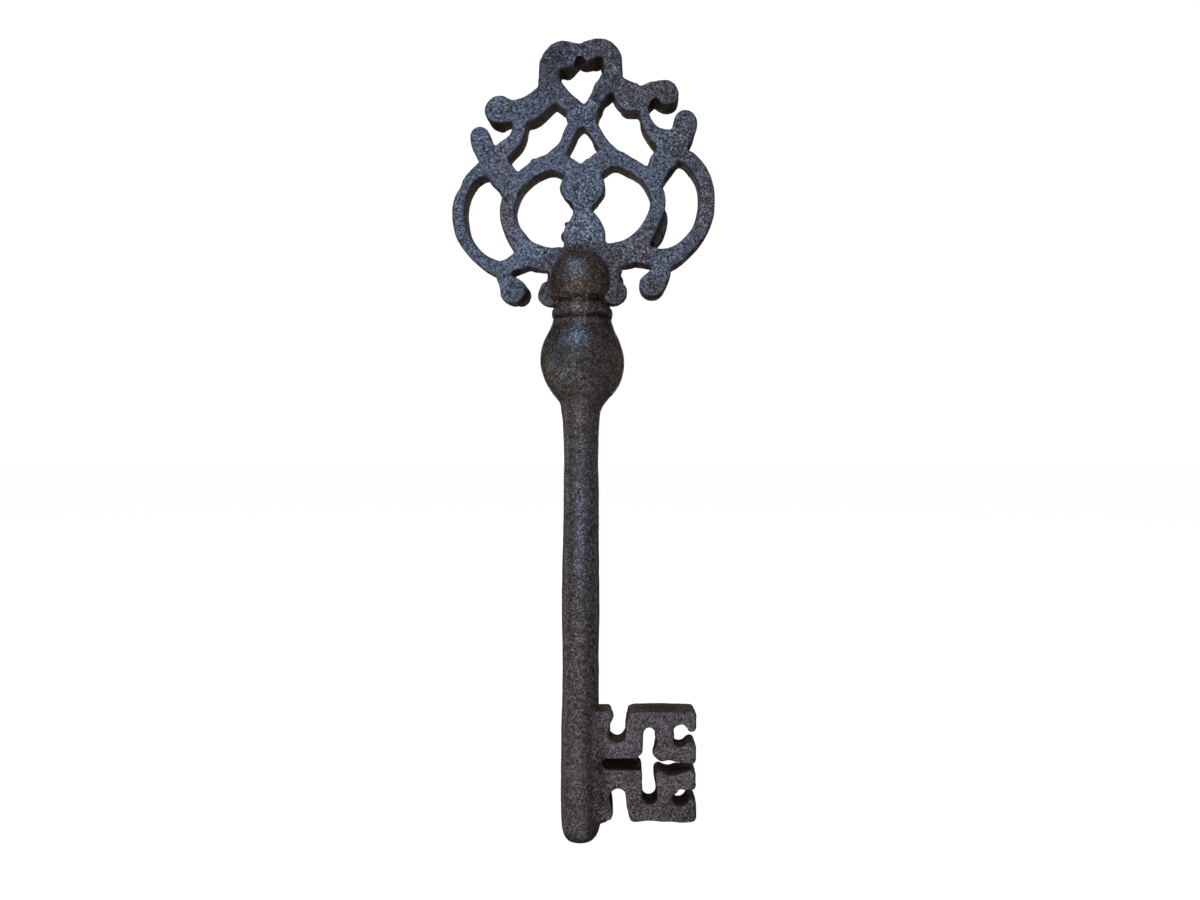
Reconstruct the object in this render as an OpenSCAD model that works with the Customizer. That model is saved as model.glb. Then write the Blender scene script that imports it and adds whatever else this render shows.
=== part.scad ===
// Decorative key in cast iron: an openwork bow, a domed head, a collar, a baluster,
// a long round shank and a warded bit. The key stands upright, its plates lie in the
// XZ plane and its front faces -Y. The origin is where a nail holds it, under the crown.

/* [Bow] */
// Height of the bow from the foot of the head to the top of the crown
bow_h = 90; // [82:0.5:100]
// Width of the bow across its side arcs
bow_w = 90.7; // [84:0.1:100]
// Thickness of the bow's plate
bow_t = 9; // [7:0.1:10]
// Width of a plain bar of the tracery
bar_w = 5; // [4.6:0.1:5.4]
// Radius left in the crotches where bars meet
crotch_r = 0.8; // [0.4:0.1:1.2]
// Diameter of the knob on the left shoulder
knob_left_d = 9.8; // [8:0.1:11]
// Diameter of the knob on the right shoulder
knob_right_d = 8.4; // [7:0.1:10]
// Diameter of the two lobes beside the head
lobe_d = 8; // [7:0.1:9]

/* [Head] */
// Height of the domed head
head_h = 16.6; // [14:0.1:20]
// Largest diameter of the dome
head_d = 22.4; // [20.5:0.1:25]
// Diameter of the head's foot, on the collar
head_foot_d = 19; // [17:0.1:20]
// Depth of the blind bore for the spindle
head_bore = 3.2; // [2:0.1:4]
// Floor between the bore and the slot for the bow
head_floor = 2.2; // [1.5:0.1:3]

/* [Collar] */
// Height of the collar
collar_h = 6.4; // [5:0.1:9]
// Diameter of the bead
bead_d = 21.2; // [20.5:0.1:24]
// Height of the bead
bead_h = 3.3; // [2.4:0.1:4]
// Diameter of the cove above the bead
cove_d = 18.8; // [17:0.1:20]

/* [Baluster] */
// Height of the baluster
baluster_h = 30.1; // [24:0.1:38]
// Largest diameter of the baluster
baluster_d = 29.4; // [26:0.1:34]
// Diameter of its top, under the collar
baluster_top_d = 20; // [17:0.1:21]
// Diameter of its foot, on the shank
baluster_foot_d = 14.8; // [13.5:0.1:17]

/* [Shank] */
// Length of the shank from its tip to the baluster
shank_l = 152.5; // [120:0.5:190]
// Diameter of the shank at the bit
shank_d = 13.4; // [12:0.1:15]
// Diameter of its waist, below the baluster
waist_d = 12.4; // [11:0.1:13.4]
// Length of the flare that meets the baluster
flare_l = 8; // [5:0.5:16]
// Length of the rounded tip
tip_l = 6; // [4:0.1:8]
// Diameter of the spindle that carries the baluster, the collar and the head
spindle_d = 8; // [6:0.1:10]
// Clearance round the spindle, the tenon and the bow
clearance = 0.05; // [0.02:0.01:0.15]

/* [Bit] */
// Reach of the bit from the shank's axis
bit_reach = 39.3; // [34:0.1:46]
// Height of the bit
bit_h = 37.7; // [34:0.1:44]
// Thickness of the bit
bit_t = 9.6; // [7:0.1:10.6]
// Height of the bit's lower edge above the tip
bit_up = 8.5; // [7:0.1:20]
// Width of a plain ward cut
ward_w = 5.4; // [4.8:0.1:5.8]
// Radius of the bit's corners
bit_corner_r = 1.4; // [0.6:0.1:1.6]
// Height of the blind slot
blind_h = 4.4; // [3:0.1:5]
// Thickness of the web left in the blind slot
blind_web = 2; // [1:0.1:4]
// Depth of the tenon in the shank
tenon_l = 4.2; // [3:0.1:5]

/* [Hidden] */
$fn = 72;

// The tracery is drawn on a sheet of this width and height, with plain bars of this
// width, and stretched to the bow's own sizes. Each point of a bar is its place across
// from the axis, its place up from the foot of the head, and the bar's width there.
bow_sheet = [90.7, 90, 5];
bow_size = [bow_w, bow_h, bar_w];
crown_left = [[2, 85.6, 6.8], [-1.2, 86.1, 4.5], [-4.9, 84.7, 9.2], [-10.2, 82.5, 7.7],
    [-11.4, 77.5, 6.8], [-10.9, 72.5, 8]];
crown_right = [[-1.2, 86.1, 4.5], [2.2, 85.6, 6.8], [6.4, 86.8, 6.2], [9.4, 85.3, 6],
    [10.6, 81.5, 6], [10.7, 77.5, 6.4], [9.8, 75.2, 7.2]];
strap_left = [[-10.9, 74, 7], [-5.9, 68.8, 5.6], [0.2, 63.8, 5], [4.2, 58.2, 4.1],
    [6.9, 53.8, 4], [10.4, 50, 4.6]];
strap_right = [[9.6, 75, 6.6], [6.9, 72, 5], [4.7, 68.6, 4.4], [1.8, 64, 4.8],
    [-3.4, 58.9, 3.9], [-6, 53, 3.8], [-9.6, 48.8, 5]];
crossing = [[-2.3, 63.4, 6], [2.6, 63.4, 5.6]];
shoulder_left = [[-10.2, 72.4, 7.6], [-14.6, 68.2, 8], [-19, 65.4, 8.4], [-24, 64.9, 7.4],
    [-28.3, 65.1, 8]];
shoulder_right = [[9.8, 74.8, 6.6], [12.8, 73.6, 6], [16.4, 70.2, 10.2], [20.4, 69.4, 8.2],
    [24.4, 71.8, 6.1], [28.4, 71.5, 8.1]];
stalk_left = [[-21.4, 66, 5], [-21.6, 59.4, 4.4], [-23.2, 54.8, 4.8], [-27.3, 51, 5.8],
    [-29.5, 47, 6]];
stalk_right = [[20.7, 69, 4.4], [21.5, 64.8, 2.9], [22.4, 61, 3.6], [24.9, 57.3, 4.8],
    [28.8, 54.6, 7.6]];
leaf_left = [[-35.2, 56, 6.4], [-34.4, 53, 6.8], [-31, 47.5, 7.6], [-27, 42, 9.4],
    [-26, 38, 5.6]];
leaf_right = [[35.8, 61.4, 7.4], [35, 57.4, 7.7], [32, 52.5, 8], [27.5, 46.6, 8.4],
    [25.3, 40.6, 5.4]];
arc_left = [[-29.5, 47, 7], [-35, 44.4, 4.4], [-38.6, 41.4, 3.5], [-41.2, 36.6, 3.4],
    [-42.7, 30.5, 4.1], [-41.6, 22.8, 4.1], [-38.9, 17.9, 4], [-35, 13.8, 3.9],
    [-31, 11.3, 4.4], [-27, 10.8, 5.4], [-20, 13.8, 6]];
arc_right = [[30.5, 50.5, 6.5], [35.4, 49.6, 4.5], [39.3, 46.3, 4.7], [42.2, 41.6, 4.7],
    [43.4, 35.5, 5], [43, 29, 5], [41.4, 24.6, 4.9], [38.7, 20.6, 5.1],
    [34.4, 16.4, 5.5], [29.5, 13.8, 6.8], [24, 14.6, 6.4], [19, 16, 6.4]];
ring_left = [[-0.3, 42.4, 6.4], [-4.9, 45.6, 6.2], [-8.8, 47.5, 6.6], [-12, 46.9, 5.5],
    [-14.8, 45.9, 5.2], [-19.2, 42.9, 4.8], [-23.4, 38.3, 4.8], [-25.8, 31.4, 4.8],
    [-24.9, 25.4, 5.3], [-21.2, 18.8, 6.4], [-16, 14.7, 8], [-8.5, 14, 7.6]];
ring_right = [[-0.3, 42.4, 6.4], [4.8, 46, 6.6], [8.8, 48.6, 6.8], [12.3, 48.4, 5.5],
    [15.4, 47, 4.8], [19.2, 44.9, 4.5], [23.6, 41, 4.8], [26.2, 36, 4.8],
    [26.1, 31.2, 5], [24.3, 26.4, 4.9], [21.5, 21.6, 6], [16.4, 16.4, 8.4], [9, 15, 7.6]];
pillar = [[0.4, 38.6, 14.8], [0.3, 35.6, 12.8], [0.2, 31.2, 6], [0.8, 27, 10.4],
    [0.9, 23.8, 13.6], [0.9, 19, 13.6], [0.9, 14, 15]];
foot_left = [[-27, 10.5, 4.8], [-26.6, 6.4, 5.4], [-23.9, 2.8, 9]];
foot_right = [[27.6, 12, 6.4], [27.2, 8.6, 6.8], [24.4, 4.9, 8.8]];
bars = [crown_left, crown_right, strap_left, strap_right, crossing, shoulder_left,
    shoulder_right, stalk_left, stalk_right, leaf_left, leaf_right, arc_left, arc_right,
    ring_left, ring_right, pillar, foot_left, foot_right];
knob_left = [-28.3, 65.1, 0];
knob_right = [29.2, 71.1, 0];
lobe_left = [-11.2, 1.5, 0];
lobe_right = [11.4, 2, 0];
web_corners = [[-11.6, 0, 0], [13, 16, 0]];
crown_underside = [0, 82.8, 0];

// The wards are drawn on a sheet of the bit's reach and height, with plain cuts of this
// width, and stretched to the bit's own sizes in the same way.
bit_sheet = [39.3, 37.7, 5.4];
bit_size = [bit_reach, bit_h, ward_w];
notch_top = [[12.2, 30, 6], [12.6, 34, 5.6], [13.4, 38.4, 5], [13.8, 42, 5.2]];
notch_bottom = [[12.5, 8.9, 5.4], [13.2, 4, 5.4], [13.8, 0.4, 7], [13.8, -4, 8]];
window = [[23.6, 8.4, 5.4], [23.3, 14, 5], [22.8, 18.5, 4.4], [22.7, 23.5, 3.9],
    [23.3, 27.5, 4.8], [23.4, 29.9, 4.8]];
slit = [[21.4, 21.6, 4], [24, 21.2, 3.4], [27, 19.8, 3.4], [30.4, 18.4, 5.5],
    [34.5, 18.5, 3.9], [38.4, 18.7, 2.4], [43, 18.7, 3.4]];
hook_top = [[33.9, 28.1, 5.2], [33.8, 31, 4.9]];
hook_top_mouth = [[34.4, 29.2, 4.4], [38, 29, 3.9], [43, 29, 4.7]];
hook_bottom = [[33.8, 8.3, 5.8], [34, 7.9, 5.8]];
hook_bottom_mouth = [[34.4, 9.6, 3], [38, 9.8, 2.6], [43, 9.8, 3.4]];
wards = [notch_top, notch_bottom, window, slit, hook_top, hook_top_mouth, hook_bottom,
    hook_bottom_mouth];
blind_slot = [[9.3, 19.7, 0], [24, 19.7, 0]];

// The stem's stations, measured up from the tip
collar_z = shank_l + baluster_h;
head_z = collar_z + collar_h;
bore_top = head_z + head_bore;
slot_z = bore_top + head_floor;
eye_z = head_z + drawn(crown_underside, bow_sheet, bow_size).y;

// Least that the web reaches past the head's sides
web_rim = 0.4;
// Straight pieces that each span of a curve is drawn with
curve_steps = 3;
// How far a cut runs past the face that it opens
past = 1;

// Point of a drawing, stretched from its sheet to the real size
function drawn(p, sheet, size) =
    [p.x * size.x / sheet.x, p.y * size.y / sheet.y, p.z * size.z / sheet.z];

// Curve through the given points, which also carries the width from point to point
function between(a, b, c, d, t) = 0.5 * (2 * b + (c - a) * t
    + (2 * a - 5 * b + 4 * c - d) * t * t + (3 * b - a - 3 * c + d) * t * t * t);
function curve(p) = let (last = len(p) - 1) [
    for (i = [0 : last - 1], s = [0 : curve_steps - 1])
        between(p[max(i - 1, 0)], p[i], p[i + 1], p[min(i + 2, last)], s / curve_steps),
    p[last]];

// One side of a stroke, half its width away from its middle line
function heading(p, i) = let (d = p[min(i + 1, len(p) - 1)] - p[max(i - 1, 0)])
    [d.x, d.y] / norm([d.x, d.y]);
function stroke_side(p, side) = [for (i = [0 : len(p) - 1]) let (h = heading(p, i))
    [p[i].x - side * h.y * p[i].z / 2, p[i].y + side * h.x * p[i].z / 2]];
function turned_round(p) = [for (i = [len(p) - 1 : -1 : 0]) p[i]];

// Stroke with round ends, as wide along its curve as its points say
module stroke(points, sheet, size) {
    path = curve([for (p = points) drawn(p, sheet, size)]);
    polygon(concat(stroke_side(path, 1), turned_round(stroke_side(path, -1))));
    for (end = [path[0], path[len(path) - 1]])
        translate([end.x, end.y]) circle(d = end.z, $fn = 24);
}

// Disc of diameter d at a point of the tracery
module disc(point, d) {
    place = drawn(point, bow_sheet, bow_size);
    translate([place.x, place.y]) circle(d = d, $fn = 36);
}

// Plain part of the bow between the rings and the lobes, in the head's slot
module web() {
    low = drawn(web_corners[0], bow_sheet, bow_size);
    high = drawn(web_corners[1], bow_sheet, bow_size);
    left = min(low.x, -head_d / 2 - web_rim);
    right = max(high.x, head_d / 2 + web_rim);
    translate([left, low.y]) square([right - left, high.y - low.y]);
}

// Outline of the bow seen from the front
module tracery() {
    offset(r = -crotch_r, $fn = 16) offset(r = crotch_r, $fn = 16) {
        for (b = bars) stroke(b, bow_sheet, bow_size);
        disc(knob_left, knob_left_d);
        disc(knob_right, knob_right_d);
        disc(lobe_left, lobe_d);
        disc(lobe_right, lobe_d);
        web();
    }
}

// Upright plate of thickness t from an outline drawn in the XZ plane
module plate(t) {
    translate([0, t / 2, 0]) rotate([90, 0, 0]) linear_extrude(t) children();
}

// Turned piece from its half profile, given as radius and height
module turned(profile) {
    rotate_extrude() polygon(profile);
}

// Everything is placed from the nail under the crown
module hung() {
    translate([0, 0, -eye_z]) children();
}

// Dome of the head, made larger all round by grow
module dome(grow) {
    side = curve([[head_foot_d / 2, 0], [head_d * 0.475, head_h * 0.16],
        [head_d / 2, head_h * 0.46], [head_d * 0.375, head_h * 0.86],
        [head_d * 0.16, head_h * 0.985], [0, head_h]]);
    turned(concat([[0, 0]], [for (p = side) [p.x + grow, p.y]], [[0, head_h]]));
}

// Room that the bow leaves round the head's floor, the cove and the bead
module stem_room() {
    bead_top = collar_z + bead_h + clearance;
    neck_d = max(cove_d, head_foot_d) + 2 * clearance;
    intersection() {
        translate([0, 0, head_z]) dome(clearance);
        translate([-head_d, -head_d, head_z])
            cube([2 * head_d, 2 * head_d, slot_z - head_z]);
    }
    translate([0, 0, bead_top - past]) cylinder(d = neck_d, h = head_z - bead_top + past);
    translate([0, 0, collar_z]) cylinder(d = bead_d + 2 * clearance, h = bead_top - collar_z);
}

module bow() {
    color([0.27, 0.3, 0.36]) hung() difference() {
        translate([0, 0, head_z]) plate(bow_t) tracery();
        stem_room();
    }
}

module head() {
    color([0.26, 0.24, 0.22]) hung() translate([0, 0, head_z]) difference() {
        dome(0);
        translate([0, 0, -past])
            cylinder(d = spindle_d + 2 * clearance, h = head_bore + past);
        translate([-head_d, -bow_t / 2 - clearance, slot_z - head_z])
            cube([2 * head_d, bow_t + 2 * clearance, head_h]);
    }
}

module collar() {
    bead_r = bead_h / 2;
    bead = [for (a = [-75 : 15 : 75])
        [bead_d / 2 - bead_r + bead_r * cos(a), bead_r * (1 + sin(a))]];
    cove = curve([bead[len(bead) - 1], [cove_d / 2, bead_h + (collar_h - bead_h) * 0.35],
        [cove_d / 2, bead_h + (collar_h - bead_h) * 0.7], [head_foot_d / 2, collar_h]]);
    color([0.27, 0.25, 0.23]) hung() translate([0, 0, collar_z]) difference() {
        turned(concat([[0, 0], [bead[0].x, 0]], bead, cove, [[0, collar_h]]));
        translate([0, 0, -past])
            cylinder(d = spindle_d + 2 * clearance, h = collar_h + 2 * past);
    }
}

module baluster() {
    top = baluster_top_d / 2;
    belly = baluster_d / 2;
    foot = baluster_foot_d / 2;
    side = curve([[foot, 0], [foot + (belly - foot) * 0.37, baluster_h * 0.1],
        [foot + (belly - foot) * 0.76, baluster_h * 0.24], [belly, baluster_h * 0.49],
        [top + (belly - top) * 0.68, baluster_h * 0.75], [top, baluster_h]]);
    color([0.27, 0.25, 0.23]) hung() translate([0, 0, shank_l]) difference() {
        turned(concat([[0, 0]], side, [[0, baluster_h]]));
        translate([0, 0, -past])
            cylinder(d = spindle_d + 2 * clearance, h = baluster_h + 2 * past);
    }
}

module shank() {
    r = shank_d / 2;
    tip = [for (a = [0 : 15 : 75]) [r * sin(a), tip_l * (1 - cos(a))]];
    side = curve([[r, tip_l], [r, shank_l * 0.3], [r, shank_l * 0.55],
        [waist_d / 2, shank_l * 0.8], [waist_d / 2, shank_l - flare_l],
        [baluster_foot_d / 2, shank_l]]);
    color([0.26, 0.24, 0.23]) hung() difference() {
        union() {
            turned(concat(tip, side, [[0, shank_l]]));
            translate([0, 0, shank_l - past])
                cylinder(d = spindle_d, h = bore_top - clearance - shank_l + past);
        }
        translate([r - tenon_l, -bit_t / 2 - clearance, bit_up - clearance])
            cube([shank_d, bit_t + 2 * clearance, bit_h + 2 * clearance]);
    }
}

// Outline of the bit seen from the front, with its tenon and its wards
module warded() {
    inner = shank_d / 2 - tenon_l + clearance;
    offset(r = bit_corner_r, $fn = 16) offset(r = -bit_corner_r, $fn = 16) difference() {
        translate([inner, 0]) square([bit_reach - inner, bit_h]);
        for (w = wards) stroke(w, bit_sheet, bit_size);
    }
}

// Slot that stops at a web in the middle of the bit
module blind() {
    start = drawn(blind_slot[0], bit_sheet, bit_size);
    end = drawn(blind_slot[1], bit_sheet, bit_size);
    translate([start.x, start.y]) circle(d = blind_h, $fn = 24);
    translate([start.x, start.y - blind_h / 2]) square([end.x - start.x, blind_h]);
}

module bit() {
    color([0.27, 0.25, 0.27]) hung() translate([0, 0, bit_up]) {
        plate(bit_t) difference() {
            warded();
            blind();
        }
        plate(blind_web) warded();
    }
}

bow();
head();
collar();
baluster();
shank();
bit();
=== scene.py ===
"""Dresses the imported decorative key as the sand-cast iron key of the photograph.

Places are millimetres across from the shank's axis, behind its middle plane and above
the tip, in that order, so the front of the key is at a negative depth.
"""

from __future__ import annotations

import logging
import math
from dataclasses import dataclass, field
from enum import Enum

import bmesh
import bpy
import numpy as np
from mathutils import Euler, Matrix, Vector, noise
from mathutils.bvhtree import BVHTree

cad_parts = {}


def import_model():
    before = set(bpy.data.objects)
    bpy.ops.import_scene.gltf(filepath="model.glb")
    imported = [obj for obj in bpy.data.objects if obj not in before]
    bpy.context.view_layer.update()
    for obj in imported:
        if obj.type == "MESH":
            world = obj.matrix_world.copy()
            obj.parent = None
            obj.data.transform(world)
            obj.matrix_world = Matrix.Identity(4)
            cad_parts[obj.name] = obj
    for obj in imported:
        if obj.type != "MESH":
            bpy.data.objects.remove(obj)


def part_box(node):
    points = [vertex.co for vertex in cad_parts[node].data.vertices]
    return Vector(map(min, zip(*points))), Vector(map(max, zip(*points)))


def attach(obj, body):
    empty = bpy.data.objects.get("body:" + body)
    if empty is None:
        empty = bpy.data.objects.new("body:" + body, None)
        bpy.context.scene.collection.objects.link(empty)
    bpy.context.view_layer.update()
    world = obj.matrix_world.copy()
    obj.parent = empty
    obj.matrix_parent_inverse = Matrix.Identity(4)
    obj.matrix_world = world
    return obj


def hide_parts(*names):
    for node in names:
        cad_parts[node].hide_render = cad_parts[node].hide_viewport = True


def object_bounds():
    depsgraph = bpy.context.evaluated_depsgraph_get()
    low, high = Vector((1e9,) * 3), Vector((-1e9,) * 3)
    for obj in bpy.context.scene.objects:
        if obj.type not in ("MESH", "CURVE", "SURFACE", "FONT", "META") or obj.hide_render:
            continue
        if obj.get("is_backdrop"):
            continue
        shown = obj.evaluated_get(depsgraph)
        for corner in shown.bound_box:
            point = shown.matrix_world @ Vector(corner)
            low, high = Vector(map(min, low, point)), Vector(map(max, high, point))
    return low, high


MM = 0.001
BODY = "root"
LOG = logging.getLogger("decorative_key")

Triple = tuple[float, float, float]
ScreenColour = tuple[int, int, int]
Socket = bpy.types.NodeSocket


class Part(Enum):
    """Parts of the key: the CAD nodes, whose names also name the materials."""

    BOW = "bow"
    HEAD = "head"
    COLLAR = "collar"
    BALUSTER = "baluster"
    SHANK = "shank"
    BIT = "bit"


class Mask(Enum):
    """Measures of the surface that the meshes carry and the finishes read."""

    # how sheltered each point is, which the finishes paint darker as shade
    RECESS = "recess"
    RIM = "rim"
    HOLLOW = "hollow"
    # stains, and painted highlights and painted shade
    STAIN_AND_LIGHT = "colour_mark"
    RUST = "rust"
    # soot, and painted shade in creases, recesses, openings and on sides turned from the lamps
    SOOT_AND_SHADE = "soot_and_shade"
    GLINT = "glint"


class Room:
    """Where the key stands in the shared frame."""

    def __init__(self) -> None:
        """Reads the tip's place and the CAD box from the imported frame."""
        low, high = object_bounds()
        self.low: np.ndarray = np.array(low)
        self.high: np.ndarray = np.array(high)
        self.tip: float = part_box(Part.SHANK.value)[0].z

    def point(self, place: Triple) -> Vector:
        """Point of the frame, in metres, for a place on the key in millimetres."""
        return Vector((place[0] * MM, place[1] * MM, self.tip + place[2] * MM))


# Cast skin


# Ways in which the sides of a plate may move: across and in height, never in depth
SIDEWAYS = np.array((1.0, 0.0, 1.0))
# Distance of a side's front or back edge from the middle plane, in millimetres
EDGE_DEPTH = 3.6
# How far a dent in such an edge reaches in depth, in millimetres
EDGE_REACH = 6.0
# Middle and reach in depth of a mark that covers a side from front to back, in millimetres
WALL_MIDDLE = 1.0
WALL_REACH = 9.0
# Reach across and in depth of what goes all round the stem, in millimetres
ALL_ROUND = 40.0
# Places in the noise that keep its uses apart
WANDER_SLICE = 7.3
FADE_OFFSET = Vector((31.0, 0.0, 0.0))


@dataclass(frozen=True)
class Swell:
    """One size of unevenness in the cast skin, in millimetres."""

    width: float
    height: float


@dataclass(frozen=True)
class Blemish:
    """A dent or a bump left by the casting.

    Attributes:
        place: its middle on the key.
        radii: how far it reaches across, in depth and in height.
        rise: how far it stands out, or how deep it goes when negative.
        crumbs: height of the crumbs of burnt sand on it.
        sideways: whether it moves the sides of the piece alone, in the plate's plane.
    """

    place: Triple
    radii: Triple
    rise: float
    crumbs: float = 0.0
    sideways: bool = False


@dataclass(frozen=True)
class ColourMark:
    """A place where the iron has another colour, for its stains, rust and soot and for painted light
    and shade.

    Attributes:
        place: its middle on the key.
        radii: how far it reaches across, in depth and in height.
        strength: how strong it is in the middle, around 1.
        mask: the measure that it adds to.
        walls: whether it marks the sides of a plate alone.
    """

    place: Triple
    radii: Triple
    strength: float
    mask: Mask = Mask.STAIN_AND_LIGHT
    walls: bool = False


@dataclass(frozen=True)
class CastSkin:
    """Unevenness that the sand mould and its parting line leave on the iron.

    Attributes:
        swells: the sizes of unevenness that add up all over it.
        seam_height: how far the parting line stands out, in millimetres.
        seam_width: how far it reaches to each side.
        seam_wander: how far it strays from the middle plane.
        seam_bends: how quickly it strays, for each millimetre along the key.
        seam_share: share of its height that it has on average.
        seam_swing: how much that share varies.
        fade_width: width of the patches where it shows or fades.
        crumb_width: width of a crumb of burnt sand.
        crumb_rise: how much more the crumbs stand out than they sink in.
        plate_depth: depth over which the mould's shift grows to its full size.
    """

    swells: tuple[Swell, ...] = (Swell(13.0, 0.15), Swell(4.2, 0.08), Swell(1.5, 0.035))
    seam_height: float = 0.12
    seam_width: float = 0.55
    seam_wander: float = 0.5
    seam_bends: float = 0.12
    seam_share: float = 0.6
    seam_swing: float = 0.8
    fade_width: float = 6.0
    crumb_width: float = 1.5
    crumb_rise: float = 0.6
    plate_depth: float = 9.4

    def lift(self, spot: Vector) -> float:
        """Works out how far the skin stands out at one spot.

        Args:
            spot: a point of the frame, in millimetres.

        Returns:
            The lift along the surface's normal, in millimetres.
        """
        lift = sum(s.height * noise.noise(spot / s.width) for s in self.swells)
        along = Vector((spot.x * self.seam_bends, WANDER_SLICE, spot.z * self.seam_bends))
        wander = self.seam_wander * noise.noise(along)
        seam = math.exp(-(((spot.y - wander) / self.seam_width) ** 2))
        patches = noise.noise(spot / self.fade_width + FADE_OFFSET)
        fade = max(self.seam_share + self.seam_swing * patches, 0.0)
        return lift + self.seam_height * seam * fade

    def cast(self, mesh: bpy.types.Mesh, room: Room, growth: float, shift: tuple[float, float],
             blemishes: tuple[Blemish, ...]) -> None:
        """Makes a smooth mesh uneven, and keeps it inside the CAD box.

        Args:
            mesh: the mesh to change.
            room: where the key stands.
            growth: how far the whole surface moves out, in millimetres.
            shift: how far the back lies to the right of the front and above it, in millimetres.
            blemishes: dents and bumps of this piece alone.
        """
        places, normals = read_points(mesh)
        lifts = np.array([self.lift(Vector(p / MM)) for p in places]) + growth
        moves = normals * lifts[:, None]
        backward = np.clip(0.5 + places[:, 1] / (self.plate_depth * MM), 0.0, 1.0)
        moves += np.outer(backward, (shift[0], 0.0, shift[1]))
        for blemish in blemishes:
            near = nearness(places, room, blemish)
            push = blemish.rise * near
            if blemish.crumbs:
                for i in np.flatnonzero(near):
                    crumb = noise.noise(Vector(places[i] / (self.crumb_width * MM)))
                    crumb += self.crumb_rise * abs(crumb)
                    push[i] += blemish.crumbs * near[i] * crumb
            ways = SIDEWAYS if blemish.sideways else np.ones(3)
            moves += normals * ways * push[:, None]
        places = np.clip(places + moves * MM, room.low, room.high)
        mesh.vertices.foreach_set("co", places.astype(np.float32).ravel())
        mesh.update()


def at_front(across: float, height: float, reach: float, rise: float) -> Blemish:
    """Moves the side of a plate out near its front face, or in where rise is negative."""
    return Blemish((across, -EDGE_DEPTH, height), (reach, EDGE_REACH, reach), rise, sideways=True)


def at_back(across: float, height: float, reach: float, rise: float) -> Blemish:
    """Moves the side of a plate out near its back face, or in where rise is negative."""
    return Blemish((across, EDGE_DEPTH, height), (reach, EDGE_REACH, reach), rise, sideways=True)


def crumbs_round(height: float, reach: float, crumbs: float) -> Blemish:
    """Crumbs of burnt sand in a band round the stem, thickest in its middle."""
    return Blemish((0.0, 0.0, height), (ALL_ROUND, ALL_ROUND, reach), 0.0, crumbs)


def soot_and_shade_round(height: float, reach: float, strength: float) -> ColourMark:
    """Soot and painted shade in a band round the stem, darkest in its middle."""
    return ColourMark((0.0, 0.0, height), (ALL_ROUND, ALL_ROUND, reach), strength, Mask.SOOT_AND_SHADE)


def on_walls(across: float, height: float, wide: float, tall: float, strength: float,
             mask: Mask = Mask.SOOT_AND_SHADE) -> ColourMark:
    """Marks the sides of a plate over their whole depth, with soot and painted shade unless another
    mask is given.
    """
    return ColourMark((across, WALL_MIDDLE, height), (wide, WALL_REACH, tall), strength, mask, True)


def nearness(places: np.ndarray, room: Room, spot: Blemish | ColourMark) -> np.ndarray:
    """Tells how near each point lies to the middle of a spot.

    Args:
        places: the points, in metres.
        room: where the key stands.
        spot: the spot, with its place and its radii.

    Returns:
        A number for each point, from 1 in the middle down to 0 at the radii.
    """
    away = (places - np.array(room.point(spot.place))) / (np.array(spot.radii) * MM)
    near = np.clip(1.0 - np.sqrt((away**2).sum(1)), 0.0, 1.0)
    return near * near * (3.0 - 2.0 * near)


def read_points(mesh: bpy.types.Mesh) -> tuple[np.ndarray, np.ndarray]:
    """Reads the places and the normals of a mesh's points.

    Args:
        mesh: the mesh to read.

    Returns:
        Two arrays with a row of three numbers for each point.
    """
    places = np.zeros(len(mesh.vertices) * 3, np.float32)
    normals = np.zeros(len(mesh.vertices) * 3, np.float32)
    mesh.vertices.foreach_get("co", places)
    mesh.vertices.foreach_get("normal", normals)
    return places.reshape(-1, 3).astype(float), normals.reshape(-1, 3).astype(float)


def write_mask(mesh: bpy.types.Mesh, mask: Mask, values: np.ndarray) -> None:
    """Stores one measure for each point of a mesh.

    Args:
        mesh: the mesh that carries it.
        mask: which measure it is.
        values: one number for each point.
    """
    layer = mesh.attributes.new(mask.value, "FLOAT", "POINT")
    layer.data.foreach_set("value", values.astype(np.float32))


class Surroundings:
    """Everything near a point of the key, for telling how sheltered it is; the finishes paint shade
    in the sheltered places.

    Attributes:
        rays: in how many directions a point looks.
        reach: how far it looks, in millimetres.
        clearance: how far off the surface the look starts, in millimetres.
        fading: how much less a thing counts at the end of the reach.
    """

    rays: int = 14
    reach: float = 13.0
    clearance: float = 0.12
    fading: float = 0.6

    def __init__(self, meshes: list[bpy.types.Mesh]) -> None:
        """Gathers the meshes that shelter each other.

        Args:
            meshes: the meshes of all the pieces.
        """
        everything = bmesh.new()
        for mesh in meshes:
            everything.from_mesh(mesh)
        self.tree: BVHTree = BVHTree.FromBMesh(everything)
        everything.free()

    def directions(self) -> list[Vector]:
        """Spreads directions over a half ball, closer together around its pole.

        Returns:
            The directions, each of length 1.
        """
        found = []
        for i in range(self.rays):
            out = math.sqrt((i + 0.5) / self.rays)
            turn = i * math.pi * (3.0 - math.sqrt(5.0))
            up = math.sqrt(1.0 - out * out)
            found.append(Vector((out * math.cos(turn), out * math.sin(turn), up)))
        return found

    def measure(self, mesh: bpy.types.Mesh) -> np.ndarray:
        """Measures how much of the room is hidden from each point.

        Args:
            mesh: the mesh to look from.

        Returns:
            A number for each point: 0 in the open, 1 where nothing gets in.
        """
        fan = self.directions()
        reach = self.reach * MM
        hidden = np.zeros(len(mesh.vertices))
        for i, point in enumerate(mesh.vertices):
            turn = point.normal.to_track_quat("Z", "Y")
            start = point.co + point.normal * (self.clearance * MM)
            for ray in fan:
                distance = self.tree.ray_cast(start, turn @ ray, reach)[3]
                if distance is not None:
                    hidden[i] += 1.0 - self.fading * distance / reach
        return hidden / len(fan)


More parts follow.
